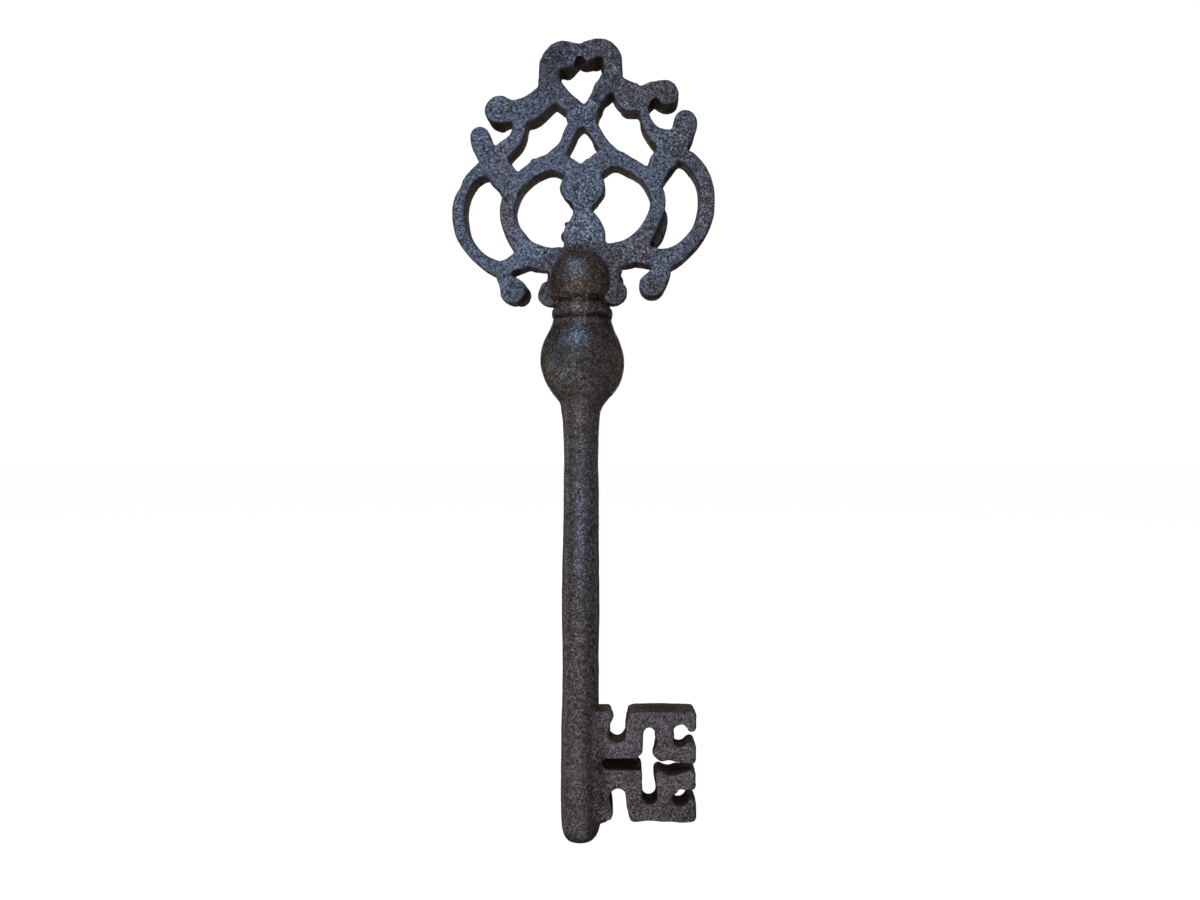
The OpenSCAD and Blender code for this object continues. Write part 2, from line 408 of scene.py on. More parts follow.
def measure_relief(mesh: bpy.types.Mesh, rounds: int = 14) -> np.ndarray:
    """Compares each point with its surroundings on the surface.

    Args:
        mesh: the mesh to measure.
        rounds: how many times the surroundings are averaged.

    Returns:
        How far each point stands out from a smoother surface, in millimetres.
    """
    places, normals = read_points(mesh)
    ends = np.zeros(len(mesh.edges) * 2, np.int32)
    mesh.edges.foreach_get("vertices", ends)
    first, second = ends.reshape(-1, 2).T
    count = len(places)
    neighbours = np.maximum(np.bincount(ends, minlength=count), 1)
    smooth = places.copy()
    for _ in range(rounds):
        total = np.stack([np.bincount(first, smooth[second, k], count)
                          + np.bincount(second, smooth[first, k], count) for k in range(3)], 1)
        smooth = total / neighbours[:, None]
    return ((places - smooth) * normals).sum(1) / MM


# Finishes


# Places of the colour sockets among those of a Mix node
BELOW_SOCKET = 6
ABOVE_SOCKET = 7
MIXED_SOCKET = 2
# Low and high values of a cloud between which a pattern changes, for soft and for hard patches
CLOUD_SPAN = (0.3, 0.7)
TIGHT_SPAN = (0.35, 0.65)
# Tones of a grain at which it starts to shine and shines fully; turned over, those of a pit
GRAIN_STEP = (0.5, 0.86)
VALUE = "NodeSocketFloat"
COLOUR = "NodeSocketColor"
VECTOR = "NodeSocketVector"
# Near black of soot and of painted shade
SOOT_AND_SHADE_BLACK = (0.0125, 0.006, 0.0056, 1.0)
PIT_BLACK = (0.007, 0.0044, 0.0037, 1.0)


class Wiring:
    """Adds and joins the nodes of one node tree."""

    def __init__(self, tree: bpy.types.NodeTree) -> None:
        """Keeps the tree that the nodes go into."""
        self.tree = tree

    def add(self, kind: str, name: str, **settings: object) -> bpy.types.Node:
        """Adds a node.

        Args:
            kind: the node's type, as Blender names it.
            name: what it does.
            **settings: values of its own settings.

        Returns:
            The new node.
        """
        node = self.tree.nodes.new(kind)
        node.name = node.label = name
        for key, value in settings.items():
            setattr(node, key, value)
        return node

    def add_group(self, name: str, group: bpy.types.NodeTree,
                  sources: dict[str, Socket | float | tuple[float, ...]]) -> bpy.types.Node:
        """Adds a node group and feeds its inputs.

        Args:
            name: what it does here.
            group: the shared group.
            sources: what goes into each named input.

        Returns:
            The new node.
        """
        node = self.add("ShaderNodeGroup", name, node_tree=group)
        for label, source in sources.items():
            self.feed(node.inputs[label], source)
        return node

    def feed(self, target: Socket, source: Socket | float | tuple[float, ...]) -> None:
        """Joins a source to a socket, or sets the socket's own value.

        Args:
            target: the socket that is fed.
            source: another node's output, a number, a vector or a colour.
        """
        if isinstance(source, bpy.types.NodeSocket):
            self.tree.links.new(source, target)
        else:
            target.default_value = source

    def calculate(self, name: str, operation: str, *terms: Socket | float) -> Socket:
        """Adds a calculation with numbers.

        Args:
            name: what it works out.
            operation: the Math node's operation.
            *terms: its inputs.

        Returns:
            The result's socket.
        """
        node = self.add("ShaderNodeMath", name, operation=operation)
        for socket, term in zip(node.inputs, terms):
            self.feed(socket, term)
        return node.outputs[0]

    def step(self, name: str, value: Socket, low: float, high: float) -> Socket:
        """Adds a soft step from 0 below low to 1 above high.

        Args:
            name: what the step picks out.
            value: the number that is looked at.
            low: where the step begins.
            high: where it ends.

        Returns:
            The step's socket.
        """
        node = self.add("ShaderNodeMapRange", name, interpolation_type="SMOOTHSTEP")
        for socket, term in zip(node.inputs, (value, low, high, 0.0, 1.0)):
            self.feed(socket, term)
        return node.outputs["Result"]

    def span(self, name: str, value: Socket, ends: tuple[float, float, float, float]) -> Socket:
        """Adds a straight map from one span of numbers to another.

        Args:
            name: what the result is.
            value: the number that is mapped.
            ends: where it comes from and where it goes to, low and high.

        Returns:
            The result's socket.
        """
        node = self.add("ShaderNodeMapRange", name)
        for socket, term in zip(node.inputs, (value, *ends)):
            self.feed(socket, term)
        return node.outputs["Result"]

    def cloud(self, name: str, place: Socket, width: float, detail: float) -> Socket:
        """Adds a soft irregular pattern.

        Args:
            name: what the pattern is.
            place: the point, in millimetres.
            width: width of its patches, in millimetres.
            detail: how many finer patterns lie in it.

        Returns:
            The pattern's socket, around a half.
        """
        node = self.add("ShaderNodeTexNoise", name)
        self.feed(node.inputs["Vector"], place)
        self.feed(node.inputs["Scale"], 1.0 / width)
        self.feed(node.inputs["Detail"], detail)
        self.feed(node.inputs["Roughness"], 0.55)
        return node.outputs["Fac"]

    def blend(self, name: str, share: Socket, below: Socket | Triple, above: Socket | Triple,
              blend_type: str = "MIX") -> Socket:
        """Adds a blend of two colours.

        Args:
            name: what the blend is.
            share: share of the second colour.
            below: the first colour.
            above: the second colour.
            blend_type: how they are blended.

        Returns:
            The blended colour's socket.
        """
        node = self.add("ShaderNodeMix", name, data_type="RGBA", blend_type=blend_type)
        self.feed(node.inputs["Factor"], share)
        self.feed(node.inputs[BELOW_SOCKET], below)
        self.feed(node.inputs[ABOVE_SOCKET], above)
        return node.outputs[MIXED_SOCKET]


def new_group(name: str, inputs: dict[str, str], outputs: dict[str, str]) -> tuple[
        bpy.types.NodeTree, Wiring, bpy.types.Node, bpy.types.Node]:
    """Starts a shader node group with named inputs and outputs.

    Args:
        name: the group's name.
        inputs: socket type of each named input.
        outputs: socket type of each named output.

    Returns:
        The group, its wiring, its input node and its output node.
    """
    group = bpy.data.node_groups.new(name, "ShaderNodeTree")
    for side, sockets in (("INPUT", inputs), ("OUTPUT", outputs)):
        for label, kind in sockets.items():
            group.interface.new_socket(name=label, in_out=side, socket_type=kind)
    wiring = Wiring(group)
    return group, wiring, wiring.add("NodeGroupInput", "in"), wiring.add("NodeGroupOutput", "out")


class IronEffects:
    """The node groups that every finish of the key shares."""

    def __init__(self) -> None:
        """Builds each group once."""
        self.grain = self.build_grain()
        self.patina = self.build_patina()
        self.wear = self.build_wear()

    @staticmethod
    def build_grain() -> bpy.types.NodeTree:
        """Sand grain of the mould: its relief, its bright specks and its dark pits.

        Returns:
            The group.
        """
        group, w, start, end = new_group(
            "sand_grain", {"Place": VECTOR, "Width": VALUE},
            {"Height": VALUE, "Specks": VALUE, "Pits": VALUE, "Tooth": VALUE})
        scale = w.calculate("grains per millimetre", "DIVIDE", 1.0, start.outputs["Width"])
        scaled = w.add("ShaderNodeVectorMath", "grain place", operation="SCALE")
        w.feed(scaled.inputs[0], start.outputs["Place"])
        w.feed(scaled.inputs["Scale"], scale)
        place = scaled.outputs[0]
        grains = w.cloud("grains", place, 1.0, 1.0)
        clumps = w.cloud("clumps of grains", place, 3.1, 2.0)
        cells = w.add("ShaderNodeTexVoronoi", "grain cells", feature="F1")
        w.feed(cells.inputs["Vector"], place)
        w.feed(cells.inputs["Scale"], 1.0)
        apart = w.add("ShaderNodeSeparateColor", "a number for each grain")
        w.feed(apart.inputs[0], cells.outputs["Color"])
        centred = w.calculate("around zero", "SUBTRACT", apart.outputs[0], 0.5)
        tone = w.calculate("grain tone", "MULTIPLY_ADD", centred, 0.5, grains)
        bumps = w.calculate("round grains", "SUBTRACT", 0.6, cells.outputs["Distance"])
        height = w.calculate("grains and cells", "MULTIPLY_ADD", bumps, 0.35, grains)
        w.feed(end.inputs["Height"], w.calculate("relief", "MULTIPLY_ADD", clumps, 1.3, height))
        bright = w.step("bright grains", tone, *GRAIN_STEP)
        clumped = w.span("speck clumps", clumps, (*CLOUD_SPAN, 0.8, 1.05))
        w.feed(end.inputs["Specks"], w.calculate("specks", "MULTIPLY", bright, clumped))
        turned = w.calculate("turned over", "SUBTRACT", 1.0, tone)
        w.feed(end.inputs["Pits"], w.step("pits", turned, *GRAIN_STEP))
        w.feed(end.inputs["Tooth"], tone)
        return group

    @staticmethod
    def build_patina() -> bpy.types.NodeTree:
        """Colour of the iron's skin, from clean faces to rust, grime, soot and painted shade in its
        hollows.

        Returns:
            The group.
        """
        group, w, start, end = new_group(
            "iron_patina",
            {"Place": VECTOR, "Blend": VALUE, "Lower": COLOUR, "Upper": COLOUR, "Rust": COLOUR,
             "Olive": COLOUR, "Grime and shade": COLOUR, "Stain and light": COLOUR, "Recess": VALUE,
             "Hollow": VALUE, "Side rust and shade": VALUE, "ColourMark": VALUE, "Soot and shade": VALUE, "Rusting": VALUE},
            {"Color": COLOUR, "Dull": VALUE})
        place = start.outputs["Place"]
        skin = w.blend("skin", start.outputs["Blend"], start.outputs["Lower"], start.outputs["Upper"])
        broad = w.cloud("broad patches", place, 17.0, 3.0)
        small = w.cloud("small patches", place, 3.6, 3.0)
        depth = w.span("patch depth", broad, (*CLOUD_SPAN, 0.48, 0.82))
        shade = w.calculate("patches", "MULTIPLY_ADD", small, 0.7, depth)
        tone = w.add("ShaderNodeCombineColor", "patch tone")
        for socket in tone.inputs[:3]:
            w.feed(socket, shade)
        skin = w.blend("patchy skin", 1.0, skin, tone.outputs[0], "MULTIPLY")
        # stains and painted light from the marks, in their own colour
        patches = w.span("stain patches", small, (*CLOUD_SPAN, 0.6, 1.2))
        stain_and_light = w.calculate("patchy stain", "MULTIPLY", start.outputs["ColourMark"], patches)
        skin = w.blend("stained skin", stain_and_light, skin, start.outputs["Stain and light"])
        # shelter, hollows and sides bring rust, and grime with painted shade
        sheltered = w.calculate("shelter and hollows", "MULTIPLY_ADD", start.outputs["Hollow"], 0.6,
                                start.outputs["Recess"])
        sheltered = w.calculate("with walls", "ADD", start.outputs["Side rust and shade"], sheltered)
        rusting = w.calculate("where rust takes", "MULTIPLY_ADD", small, 0.55, sheltered)
        rusting = w.calculate("rust share", "ADD", rusting, start.outputs["Rusting"])
        rust = w.step("rust", rusting, 0.42, 0.95)
        olive = w.step("olive patches", broad, 0.42, 0.62)
        brown = w.blend("rust or olive", olive, start.outputs["Rust"], start.outputs["Olive"])
        skin = w.blend("rusty skin", rust, skin, brown)
        # grime and painted shade where the place is most sheltered
        reach = w.calculate("grime reach", "MULTIPLY_ADD", small, 0.3, sheltered)
        grime_and_shade = w.step("grime_and_shade", reach, 0.85, 1.5)
        skin = w.blend("grimy_and_shaded skin", grime_and_shade, skin, start.outputs["Grime and shade"])
        # soot and painted shade from the marks, blended towards near black
        patches = w.span("soot patches", small, (*CLOUD_SPAN, 0.6, 1.4))
        soot_and_shade = w.calculate("patchy soot", "MULTIPLY", start.outputs["Soot and shade"], patches)
        w.feed(end.inputs["Color"], w.blend("sooty skin", soot_and_shade, skin, SOOT_AND_SHADE_BLACK))
        w.feed(end.inputs["Dull"], w.calculate("dull", "MAXIMUM", rust, grime_and_shade))
        return group

    @staticmethod
    def build_wear() -> bpy.types.NodeTree:
        """Rubbed rims, where handling has cleaned the raised edges.

        Returns:
            The group.
        """
        group, w, start, end = new_group(
            "rubbed_rims", {"Place": VECTOR, "Rim": VALUE, "Width": VALUE}, {"Rubbed": VALUE})
        patches = w.cloud("rubbed patches", start.outputs["Place"], 5.0, 4.0)
        fine = w.cloud("rubbed grains", start.outputs["Place"], 0.8, 1.0)
        patchy = w.span("patch strength", patches, (*TIGHT_SPAN, 0.2, 1.3))
        grainy = w.span("grain strength", fine, (*TIGHT_SPAN, 0.5, 1.4))
        reach = w.calculate("patchy rims", "MULTIPLY", start.outputs["Rim"], patchy)
        reach = w.calculate("grainy rims", "MULTIPLY", reach, grainy)
        w.feed(end.inputs["Rubbed"], w.calculate("rubbed", "MULTIPLY", reach, start.outputs["Width"]))
        return group


def linear(colour: ScreenColour) -> tuple[float, float, float, float]:
    """Turns a colour of 0 to 255 as seen on a screen into a linear one.

    Args:
        colour: red, green and blue.

    Returns:
        Linear red, green, blue and full cover.
    """
    shares = [c / 255.0 for c in colour]
    values = [c / 12.92 if c <= 0.04045 else ((c + 0.055) / 1.055) ** 2.4 for c in shares]
    return (*values, 1.0)


@dataclass(frozen=True)
class IronFinish:
    """Finish of one part of the casting.

    Attributes:
        lower: colour of the skin at the lower height.
        upper: colour of the skin at the upper height.
        heights: the two heights, in millimetres above the tip.
        speck: colour of its bright grains.
        stain_and_light_speck: colour of the bright grains on its stains and painted highlights.
        speckle: share of that colour on a bright grain, at the lower and the upper height.
        rust: colour of the rust on its faces.
        side_rust: colour of the rust on its sides.
        olive: colour of the oldest rust, beside it.
        grime_and_shade: colour of the grime and painted shade in its recesses.
        stain_and_light: colour of its stains, painted highlights and painted shade.
        side_rust_and_shade: how much browner and darker the sides are than the front and the back, as
            rust and painted shade.
        rims: how much darker the rounded edges are, as painted shade.
        pitting: how dark its pits are.
        rubbing: how much the raised edges are rubbed clean.
        rusting: how readily it rusts, around 0.
        metallic: how metallic the skin is.
        gloss: level of its plain reflection.
        roughness: roughness of its clean and of its dull places, between the grains.
        polish: how much smoother the grains are.
        grain: width of a grain, in millimetres.
        tooth: height of the grain, in millimetres.
    """

    lower: ScreenColour
    upper: ScreenColour
    heights: tuple[float, float]
    speck: ScreenColour = (160, 172, 198)
    stain_and_light_speck: ScreenColour = (160, 172, 198)
    speckle: tuple[float, float] = (0.5, 0.5)
    rust: ScreenColour = (68, 50, 45)
    side_rust: ScreenColour = (76, 46, 40)
    olive: ScreenColour = (68, 60, 45)
    grime_and_shade: ScreenColour = (20, 14, 12)
    stain_and_light: ScreenColour = (80, 73, 74)
    side_rust_and_shade: float = 0.1
    rims: float = 0.0
    pitting: float = 0.84
    rubbing: float = 0.2
    rusting: float = 0.0
    metallic: float = 0.35
    gloss: float = 0.12
    roughness: tuple[float, float] = (0.62, 0.92)
    polish: float = 0.25
    grain: float = 0.5
    tooth: float = 0.09

    def material(self, name: str, room: Room, effects: IronEffects) -> bpy.types.Material:
        """Makes the finish's material.

        Args:
            name: name of the part that wears it.
            room: where the key stands.
            effects: the shared node groups.

        Returns:
            The material.
        """
        material = bpy.data.materials.new(f"cast_iron_{name}")
        material.use_nodes = True
        material.node_tree.nodes.clear()
        w = Wiring(material.node_tree)
        shader = w.add("ShaderNodeBsdfPrincipled", "iron")
        output = w.add("ShaderNodeOutputMaterial", "surface")
        w.feed(output.inputs["Surface"], shader.outputs[0])
        where = w.add("ShaderNodeTexCoord", "where")
        millimetres = w.add("ShaderNodeMapping", "millimetres")
        w.feed(millimetres.inputs["Vector"], where.outputs["Object"])
        w.feed(millimetres.inputs["Scale"], (1.0 / MM, 1.0 / MM, 1.0 / MM))
        place = millimetres.outputs[0]
        masks = {m: w.add("ShaderNodeAttribute", m.value, attribute_name=m.value).outputs["Fac"]
                 for m in Mask}
        apart = w.add("ShaderNodeSeparateXYZ", "height above the frame's zero")
        w.feed(apart.inputs[0], place)
        low, high = (room.tip / MM + height for height in self.heights)
        blend = w.step("from lower to upper", apart.outputs["Z"], low, high)
        facing = w.add("ShaderNodeSeparateXYZ", "facing")
        w.feed(facing.inputs[0], where.outputs["Normal"])
        face = w.calculate("front or back", "ABSOLUTE", facing.outputs["Y"])
        side = w.step("side", face, 0.9, 0.3)

        grain = w.add_group("grain", effects.grain, {"Place": place, "Width": self.grain})
        wear = w.add_group("wear", effects.wear, {
            "Place": place, "Rim": masks[Mask.RIM], "Width": self.rubbing})
        patina = self.add_patina(w, effects, place, blend, side, masks)
        clean = w.calculate("clean", "SUBTRACT", 1.0, patina.outputs["Dull"])
        specks = self.share_of_specks(w, grain.outputs["Specks"], blend, clean, side, masks)

        # bright grains on the marks in their own colour, bluish on the painted highlights
        speck = w.blend("speck colour", masks[Mask.STAIN_AND_LIGHT], linear(self.speck),
                        linear(self.stain_and_light_speck))
        skin = w.blend("specks", specks, patina.outputs["Color"], speck)
        pits = w.calculate("pit share", "MULTIPLY", grain.outputs["Pits"], self.pitting)
        skin = w.blend("pits", pits, skin, PIT_BLACK)
        # painted shade on the rounded edges, darker where their curve turns from the light
        rims = w.calculate("rim shade", "MULTIPLY", masks[Mask.RIM], self.rims)
        skin = w.blend("dark rims", rims, skin, PIT_BLACK)
        skin = w.blend("rubbed rims", wear.outputs["Rubbed"], skin, linear(self.speck))
        w.feed(shader.inputs["Base Color"], skin)

        rough = w.span("roughness", patina.outputs["Dull"], (0.0, 1.0, *self.roughness))
        w.feed(shader.inputs["Roughness"], w.calculate(
            "polished grains", "MULTIPLY_ADD", grain.outputs["Tooth"], -self.polish, rough))
        w.feed(shader.inputs["Metallic"], w.calculate("bare metal", "MULTIPLY", clean, self.metallic))
        w.feed(shader.inputs["Specular IOR Level"], self.gloss)
        bump = w.add("ShaderNodeBump", "tooth")
        w.feed(bump.inputs["Height"], grain.outputs["Height"])
        w.feed(bump.inputs["Distance"], self.tooth * MM)
        w.feed(shader.inputs["Normal"], bump.outputs[0])
        return material

    def add_patina(self, w: Wiring, effects: IronEffects, place: Socket, blend: Socket,
                   side: Socket, masks: dict[Mask, Socket]) -> bpy.types.Node:
        """Adds the patina in this finish's colours.

        Args:
            w: the material's wiring.
            effects: the shared node groups.
            place: the point, in millimetres.
            blend: share of the upper colour.
            side: 1 on the sides, 0 on the front and the back.
            masks: the measures that the mesh carries.

        Returns:
            The patina's node.
        """
        rust = w.blend("rust of faces and sides", side, linear(self.rust), linear(self.side_rust))
        return w.add_group("patina", effects.patina, {
            "Place": place,
            "Blend": blend,
            "Lower": linear(self.lower),
            "Upper": linear(self.upper),
            "Rust": rust,
            "Olive": linear(self.olive),
            "Grime and shade": linear(self.grime_and_shade),
            "Stain and light": linear(self.stain_and_light),
            "Recess": masks[Mask.RECESS],
            "Hollow": masks[Mask.HOLLOW],
            # rust and painted shade on the sides of the plates and the flanks of the stem
            "Side rust and shade": w.calculate("share of the side", "MULTIPLY", side, self.side_rust_and_shade),
            "ColourMark": masks[Mask.STAIN_AND_LIGHT],
            "Soot and shade": masks[Mask.SOOT_AND_SHADE],
            "Rusting": w.calculate("readiness to rust", "ADD", masks[Mask.RUST], self.rusting)})

    def share_of_specks(self, w: Wiring, specks: Socket, blend: Socket, clean: Socket,
                        side: Socket, masks: dict[Mask, Socket]) -> Socket:
        """Thins the bright grains on rust, soot and painted shade, and strengthens them on glints.

        Args:
            w: the material's wiring.
            specks: the bright grains.
            blend: share of the upper height.
            clean: 1 where there is no rust, no grime and no painted shade.
            side: 1 on the sides, 0 on the front and the back.
            masks: the measures that the mesh carries.

        Returns:
            The share of the bright grains' colour.
        """
        speckle = w.span("speck share", blend, (0.0, 1.0, *self.speckle))
        specks = w.calculate("specks on clean skin", "MULTIPLY", specks, speckle)
        bare = w.span("specks on rust too", clean, (0.0, 1.0, 0.12, 1.0))
        specks = w.calculate("specks off the rust", "MULTIPLY", specks, bare)
        glints = w.calculate("glints", "ADD", 1.0, masks[Mask.GLINT])
        specks = w.calculate("specks and glints", "MULTIPLY", specks, glints)
        weight = w.span("more so on the sides", side, (0.0, 1.0, 0.6, 1.0))
        # fewer bright grains where soot and painted shade lie, more so on the sides
        sooty_and_shaded = w.calculate("sooty_and_shaded", "MULTIPLY", masks[Mask.SOOT_AND_SHADE], weight)
        free = w.calculate("free of soot", "SUBTRACT", 1.0, sooty_and_shaded)
        free = w.calculate("not below zero", "MAXIMUM", free, 0.0)
        return w.calculate("specks off the soot", "MULTIPLY", specks, free)


# Pieces


# Relief at which a rim and a hollow begin, and what it takes to make them full, in millimetres
RIM_START = 0.12
HOLLOW_START = 0.05
RELIEF_SPAN = 0.35
# Reach of a border between two pieces, where relief doesn't count, in millimetres
BORDER_REACH = 0.8
# Points nearer to each other than this are one, in metres: of a turned solid, of a CAD mesh
TURNED_WELD = 1e-6
CAD_WELD = 2e-6


class Piece:
    """One sub-assembly of the key.

    Attributes:
        part: the CAD node that it stands for.
        finish: its finish.
        growth: how far its whole surface moves out, in millimetres.
        shift: how far its back lies to the right of its front and above it, in millimetres.
        blemishes: its dents and bumps.
        colour_marks: its marks of colour, painted highlights and painted shade.
        corner: angle past which an edge stays sharp, in degrees.
        mesh: its mesh, once it is built.
    """

    part: Part
    finish: IronFinish
    growth: float = 0.0
    shift: tuple[float, float] = (0.0, 0.0)
    blemishes: tuple[Blemish, ...] = ()
    colour_marks: tuple[ColourMark, ...] = ()
    corner: float = 60.0
    mesh: bpy.types.Mesh

    def shape(self, room: Room) -> bpy.types.Mesh:
        """Makes the piece's smooth mesh; each kind of piece has its own way."""
        raise NotImplementedError

    def borders(self) -> tuple[float, ...]:
        """Heights where the piece meets its neighbours in the stem."""
        return ()

    def build(self, room: Room, skin: CastSkin) -> None:
        """Makes the mesh and gives it its cast skin.

        Args:
            room: where the key stands.
            skin: the unevenness that all the pieces share.
        """
        self.mesh = self.shape(room)
        skin.cast(self.mesh, room, self.growth, self.shift, self.blemishes)
        self.mesh.shade_smooth()
        self.mesh.set_sharp_from_angle(angle=math.radians(self.corner))

    def mark(self, room: Room) -> None:
        """Stores the marks of each kind on the mesh.

        Args:
            room: where the key stands.
        """
        places, normals = read_points(self.mesh)
        # 1 on the sides, falling to 0 where the surface faces the front or the back
        side = np.clip(1.4 - 1.8 * np.abs(normals[:, 1]), 0.0, 1.0)
        for mask in (Mask.STAIN_AND_LIGHT, Mask.RUST, Mask.SOOT_AND_SHADE, Mask.GLINT):
            marks = np.zeros(len(places))
            for colour_mark in self.colour_marks:
                if colour_mark.mask is mask:
                    mark = colour_mark.strength * nearness(places, room, colour_mark)
                    marks += mark * side if colour_mark.walls else mark
            write_mask(self.mesh, mask, marks)

    def gauge(self, room: Room, near: Surroundings) -> None:
        """Stores how sheltered each point is, and whether it lies on a rim or in a hollow.

        Args:
            room: where the key stands.
            near: all that shelters the piece.
        """
        relief = measure_relief(self.mesh)
        heights = read_points(self.mesh)[0][:, 2]
        for border in self.borders():
            away = np.abs(heights - room.tip - border * MM) / MM
            relief *= np.clip(away - BORDER_REACH, 0.0, 1.0)
        rim = np.clip((relief - RIM_START) / RELIEF_SPAN, 0.0, 1.0)
        hollow = np.clip((-relief - HOLLOW_START) / RELIEF_SPAN, 0.0, 1.0)
        write_mask(self.mesh, Mask.RECESS, near.measure(self.mesh))
        write_mask(self.mesh, Mask.RIM, rim)
        write_mask(self.mesh, Mask.HOLLOW, hollow)

    def dress(self, room: Room, near: Surroundings, effects: IronEffects) -> bpy.types.Object:
        """Measures the mesh, gives it its material and puts it in the frame.

        Args:
            room: where the key stands.
            near: all that shelters the piece.
            effects: the shared node groups.

        Returns:
            The finished object.
        """
        self.mark(room)
        self.gauge(room, near)
        name = self.part.value
        self.mesh.materials.append(self.finish.material(name, room, effects))
        piece = bpy.data.objects.new(f"{name}_casting", self.mesh)
        bpy.context.scene.collection.objects.link(piece)
        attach(piece, BODY)
        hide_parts(name)
        LOG.info("%s: %d faces", piece.name, len(self.mesh.polygons))
        return piece


@dataclass(frozen=True)
class Station:
    """One ring of a turned piece, in millimetres.

    Attributes:
        height: height above the tip.
        radius: radius of the ring.
        lean: how far its middle lies to the right of the axis.
        sharp: whether the profile turns a corner here.
    """

    height: float
    radius: float
    lean: float = 0.0
    sharp: bool = False


def turn(stations: tuple[Station, ...], room: Room, steps: int, cuts: int,
         grow: float = 0.0, depth: float = 1.0) -> bmesh.types.BMesh:
    """Turns a closed solid from its rings.

    Args:
        stations: its rings from the bottom to the top.
        room: where the key stands.
        steps: how many steps the full turn has.
        cuts: how many rows of faces lie between two rings.
        grow: how much larger its radius is all round, in millimetres.
        depth: its depth as a share of its width.

    Returns:
        The solid.
    """
    line = bpy.data.curves.new("profile", "CURVE")
    line.dimensions = "3D"
    line.resolution_u = cuts
    spline = line.splines.new("BEZIER")
    spline.bezier_points.add(len(stations) + 1)
    bottom = Station(stations[0].height, 0.0, sharp=True)
    top = Station(stations[-1].height, 0.0, sharp=True)
    for point, station in zip(spline.bezier_points, (bottom, *stations, top)):
        radius = max(station.radius + grow, 0.0) if station.radius else 0.0
        point.co = room.point((radius, 0.0, station.height))
        point.handle_left_type = point.handle_right_type = "VECTOR" if station.sharp else "AUTO"
    holder = bpy.data.objects.new("profile", line)
    solid = bmesh.new()
    solid.from_mesh(holder.to_mesh())
    holder.to_mesh_clear()
    bpy.data.objects.remove(holder)
    bpy.data.curves.remove(line)
    bmesh.ops.spin(solid, geom=solid.verts[:] + solid.edges[:], cent=(0.0, 0.0, 0.0),
                   axis=(0.0, 0.0, 1.0), dvec=(0.0, 0.0, 0.0), angle=math.tau, steps=steps,
                   use_merge=True)
    bmesh.ops.remove_doubles(solid, verts=solid.verts[:], dist=TURNED_WELD)
    bmesh.ops.recalc_face_normals(solid, faces=solid.faces[:])
    heights = [room.tip + s.height * MM for s in stations]
    leans = [s.lean * MM for s in stations]
    for vert in solid.verts:
        vert.co.y *= depth
        vert.co.x += float(np.interp(vert.co.z, heights, leans))
    return solid


class TurnedPiece(Piece):
    """A round piece of the stem.

    Attributes:
        stations: its rings from the bottom to the top.
        steps: how many steps its full turn has.
        cuts: how many rows of faces lie between two rings.
        depth: its depth as a share of its width.
    """

    stations: tuple[Station, ...]
    steps: int = 144
    cuts: int = 6
    depth: float = 1.0

    def borders(self) -> tuple[float, ...]:
        """Heights of the stations where the profile turns a corner."""
        return tuple(s.height for s in self.stations if s.sharp)

    def shape(self, room: Room) -> bpy.types.Mesh:
        """Turns the piece from its stations.

        Args:
            room: where the key stands.

        Returns:
            The piece's mesh.
        """
        mesh = bpy.data.meshes.new(self.part.value)
        solid = turn(self.stations, room, self.steps, self.cuts, depth=self.depth)
        solid.to_mesh(mesh)
        solid.free()
        return mesh


@dataclass
class Head(TurnedPiece):
    """The domed boss that holds the bow."""

    part: Part = Part.HEAD
    stations: tuple[Station, ...] = (
        Station(188.8, 9.2, -0.3, True), Station(191.0, 10.3, -0.4), Station(194.0, 11.1, -0.5),
        Station(197.0, 11.2, -0.5), Station(200.0, 10.5, -0.5), Station(202.5, 9.0, -0.5),
        Station(204.5, 6.4, -0.5), Station(205.4, 3.6, -0.5), Station(205.6, 1.2, -0.5))
    blemishes: tuple[Blemish, ...] = (
        crumbs_round(190.0, 4.2, 0.85),
        Blemish((-6.2, -8.4, 191.4), (3.0, 3.0, 1.6), 0.35, 0.3),
        Blemish((3.6, -9.6, 190.6), (2.6, 2.6, 1.4), 0.3, 0.3),
        Blemish((7.4, -6.4, 203.0), (2.4, 2.4, 1.8), -0.3))
    colour_marks: tuple[ColourMark, ...] = (
        # painted highlight, bluish, on the upper left of the dome
        ColourMark((-3.0, -11.5, 198.6), (7.0, 8.0, 7.0), 0.95),
        # soot and painted shade in the neck's crease, and painted shade where the dome meets the
        # plate
        soot_and_shade_round(189.6, 2.6, 0.22),
        ColourMark((-5.5, -8.0, 190.6), (4.0, 5.0, 1.8), 0.35, Mask.SOOT_AND_SHADE),
        ColourMark((4.5, -9.0, 190.2), (5.0, 5.0, 1.8), 0.6, Mask.SOOT_AND_SHADE),
        ColourMark((-8.0, -8.0, 193.5), (7.0, 8.0, 7.0), 0.2, Mask.RUST),
        ColourMark((9.5, -5.0, 198.0), (5.0, 8.0, 9.0), 0.3, Mask.RUST),
        ColourMark((0.0, -6.0, 206.0), (14.0, 8.0, 2.2), 0.5, Mask.SOOT_AND_SHADE),
        ColourMark((8.2, -7.0, 203.2), (3.0, 3.0, 2.4), 0.7, Mask.SOOT_AND_SHADE))
    # painted light: the lower dome is given a lighter colour than the upper
    finish: IronFinish = IronFinish(
        lower=(94, 80, 74), upper=(74, 67, 58), heights=(190.0, 198.0), rusting=0.1,
        speck=(150, 146, 142), stain_and_light=(92, 95, 104), speckle=(0.6, 0.6), grain=0.58, tooth=0.1)


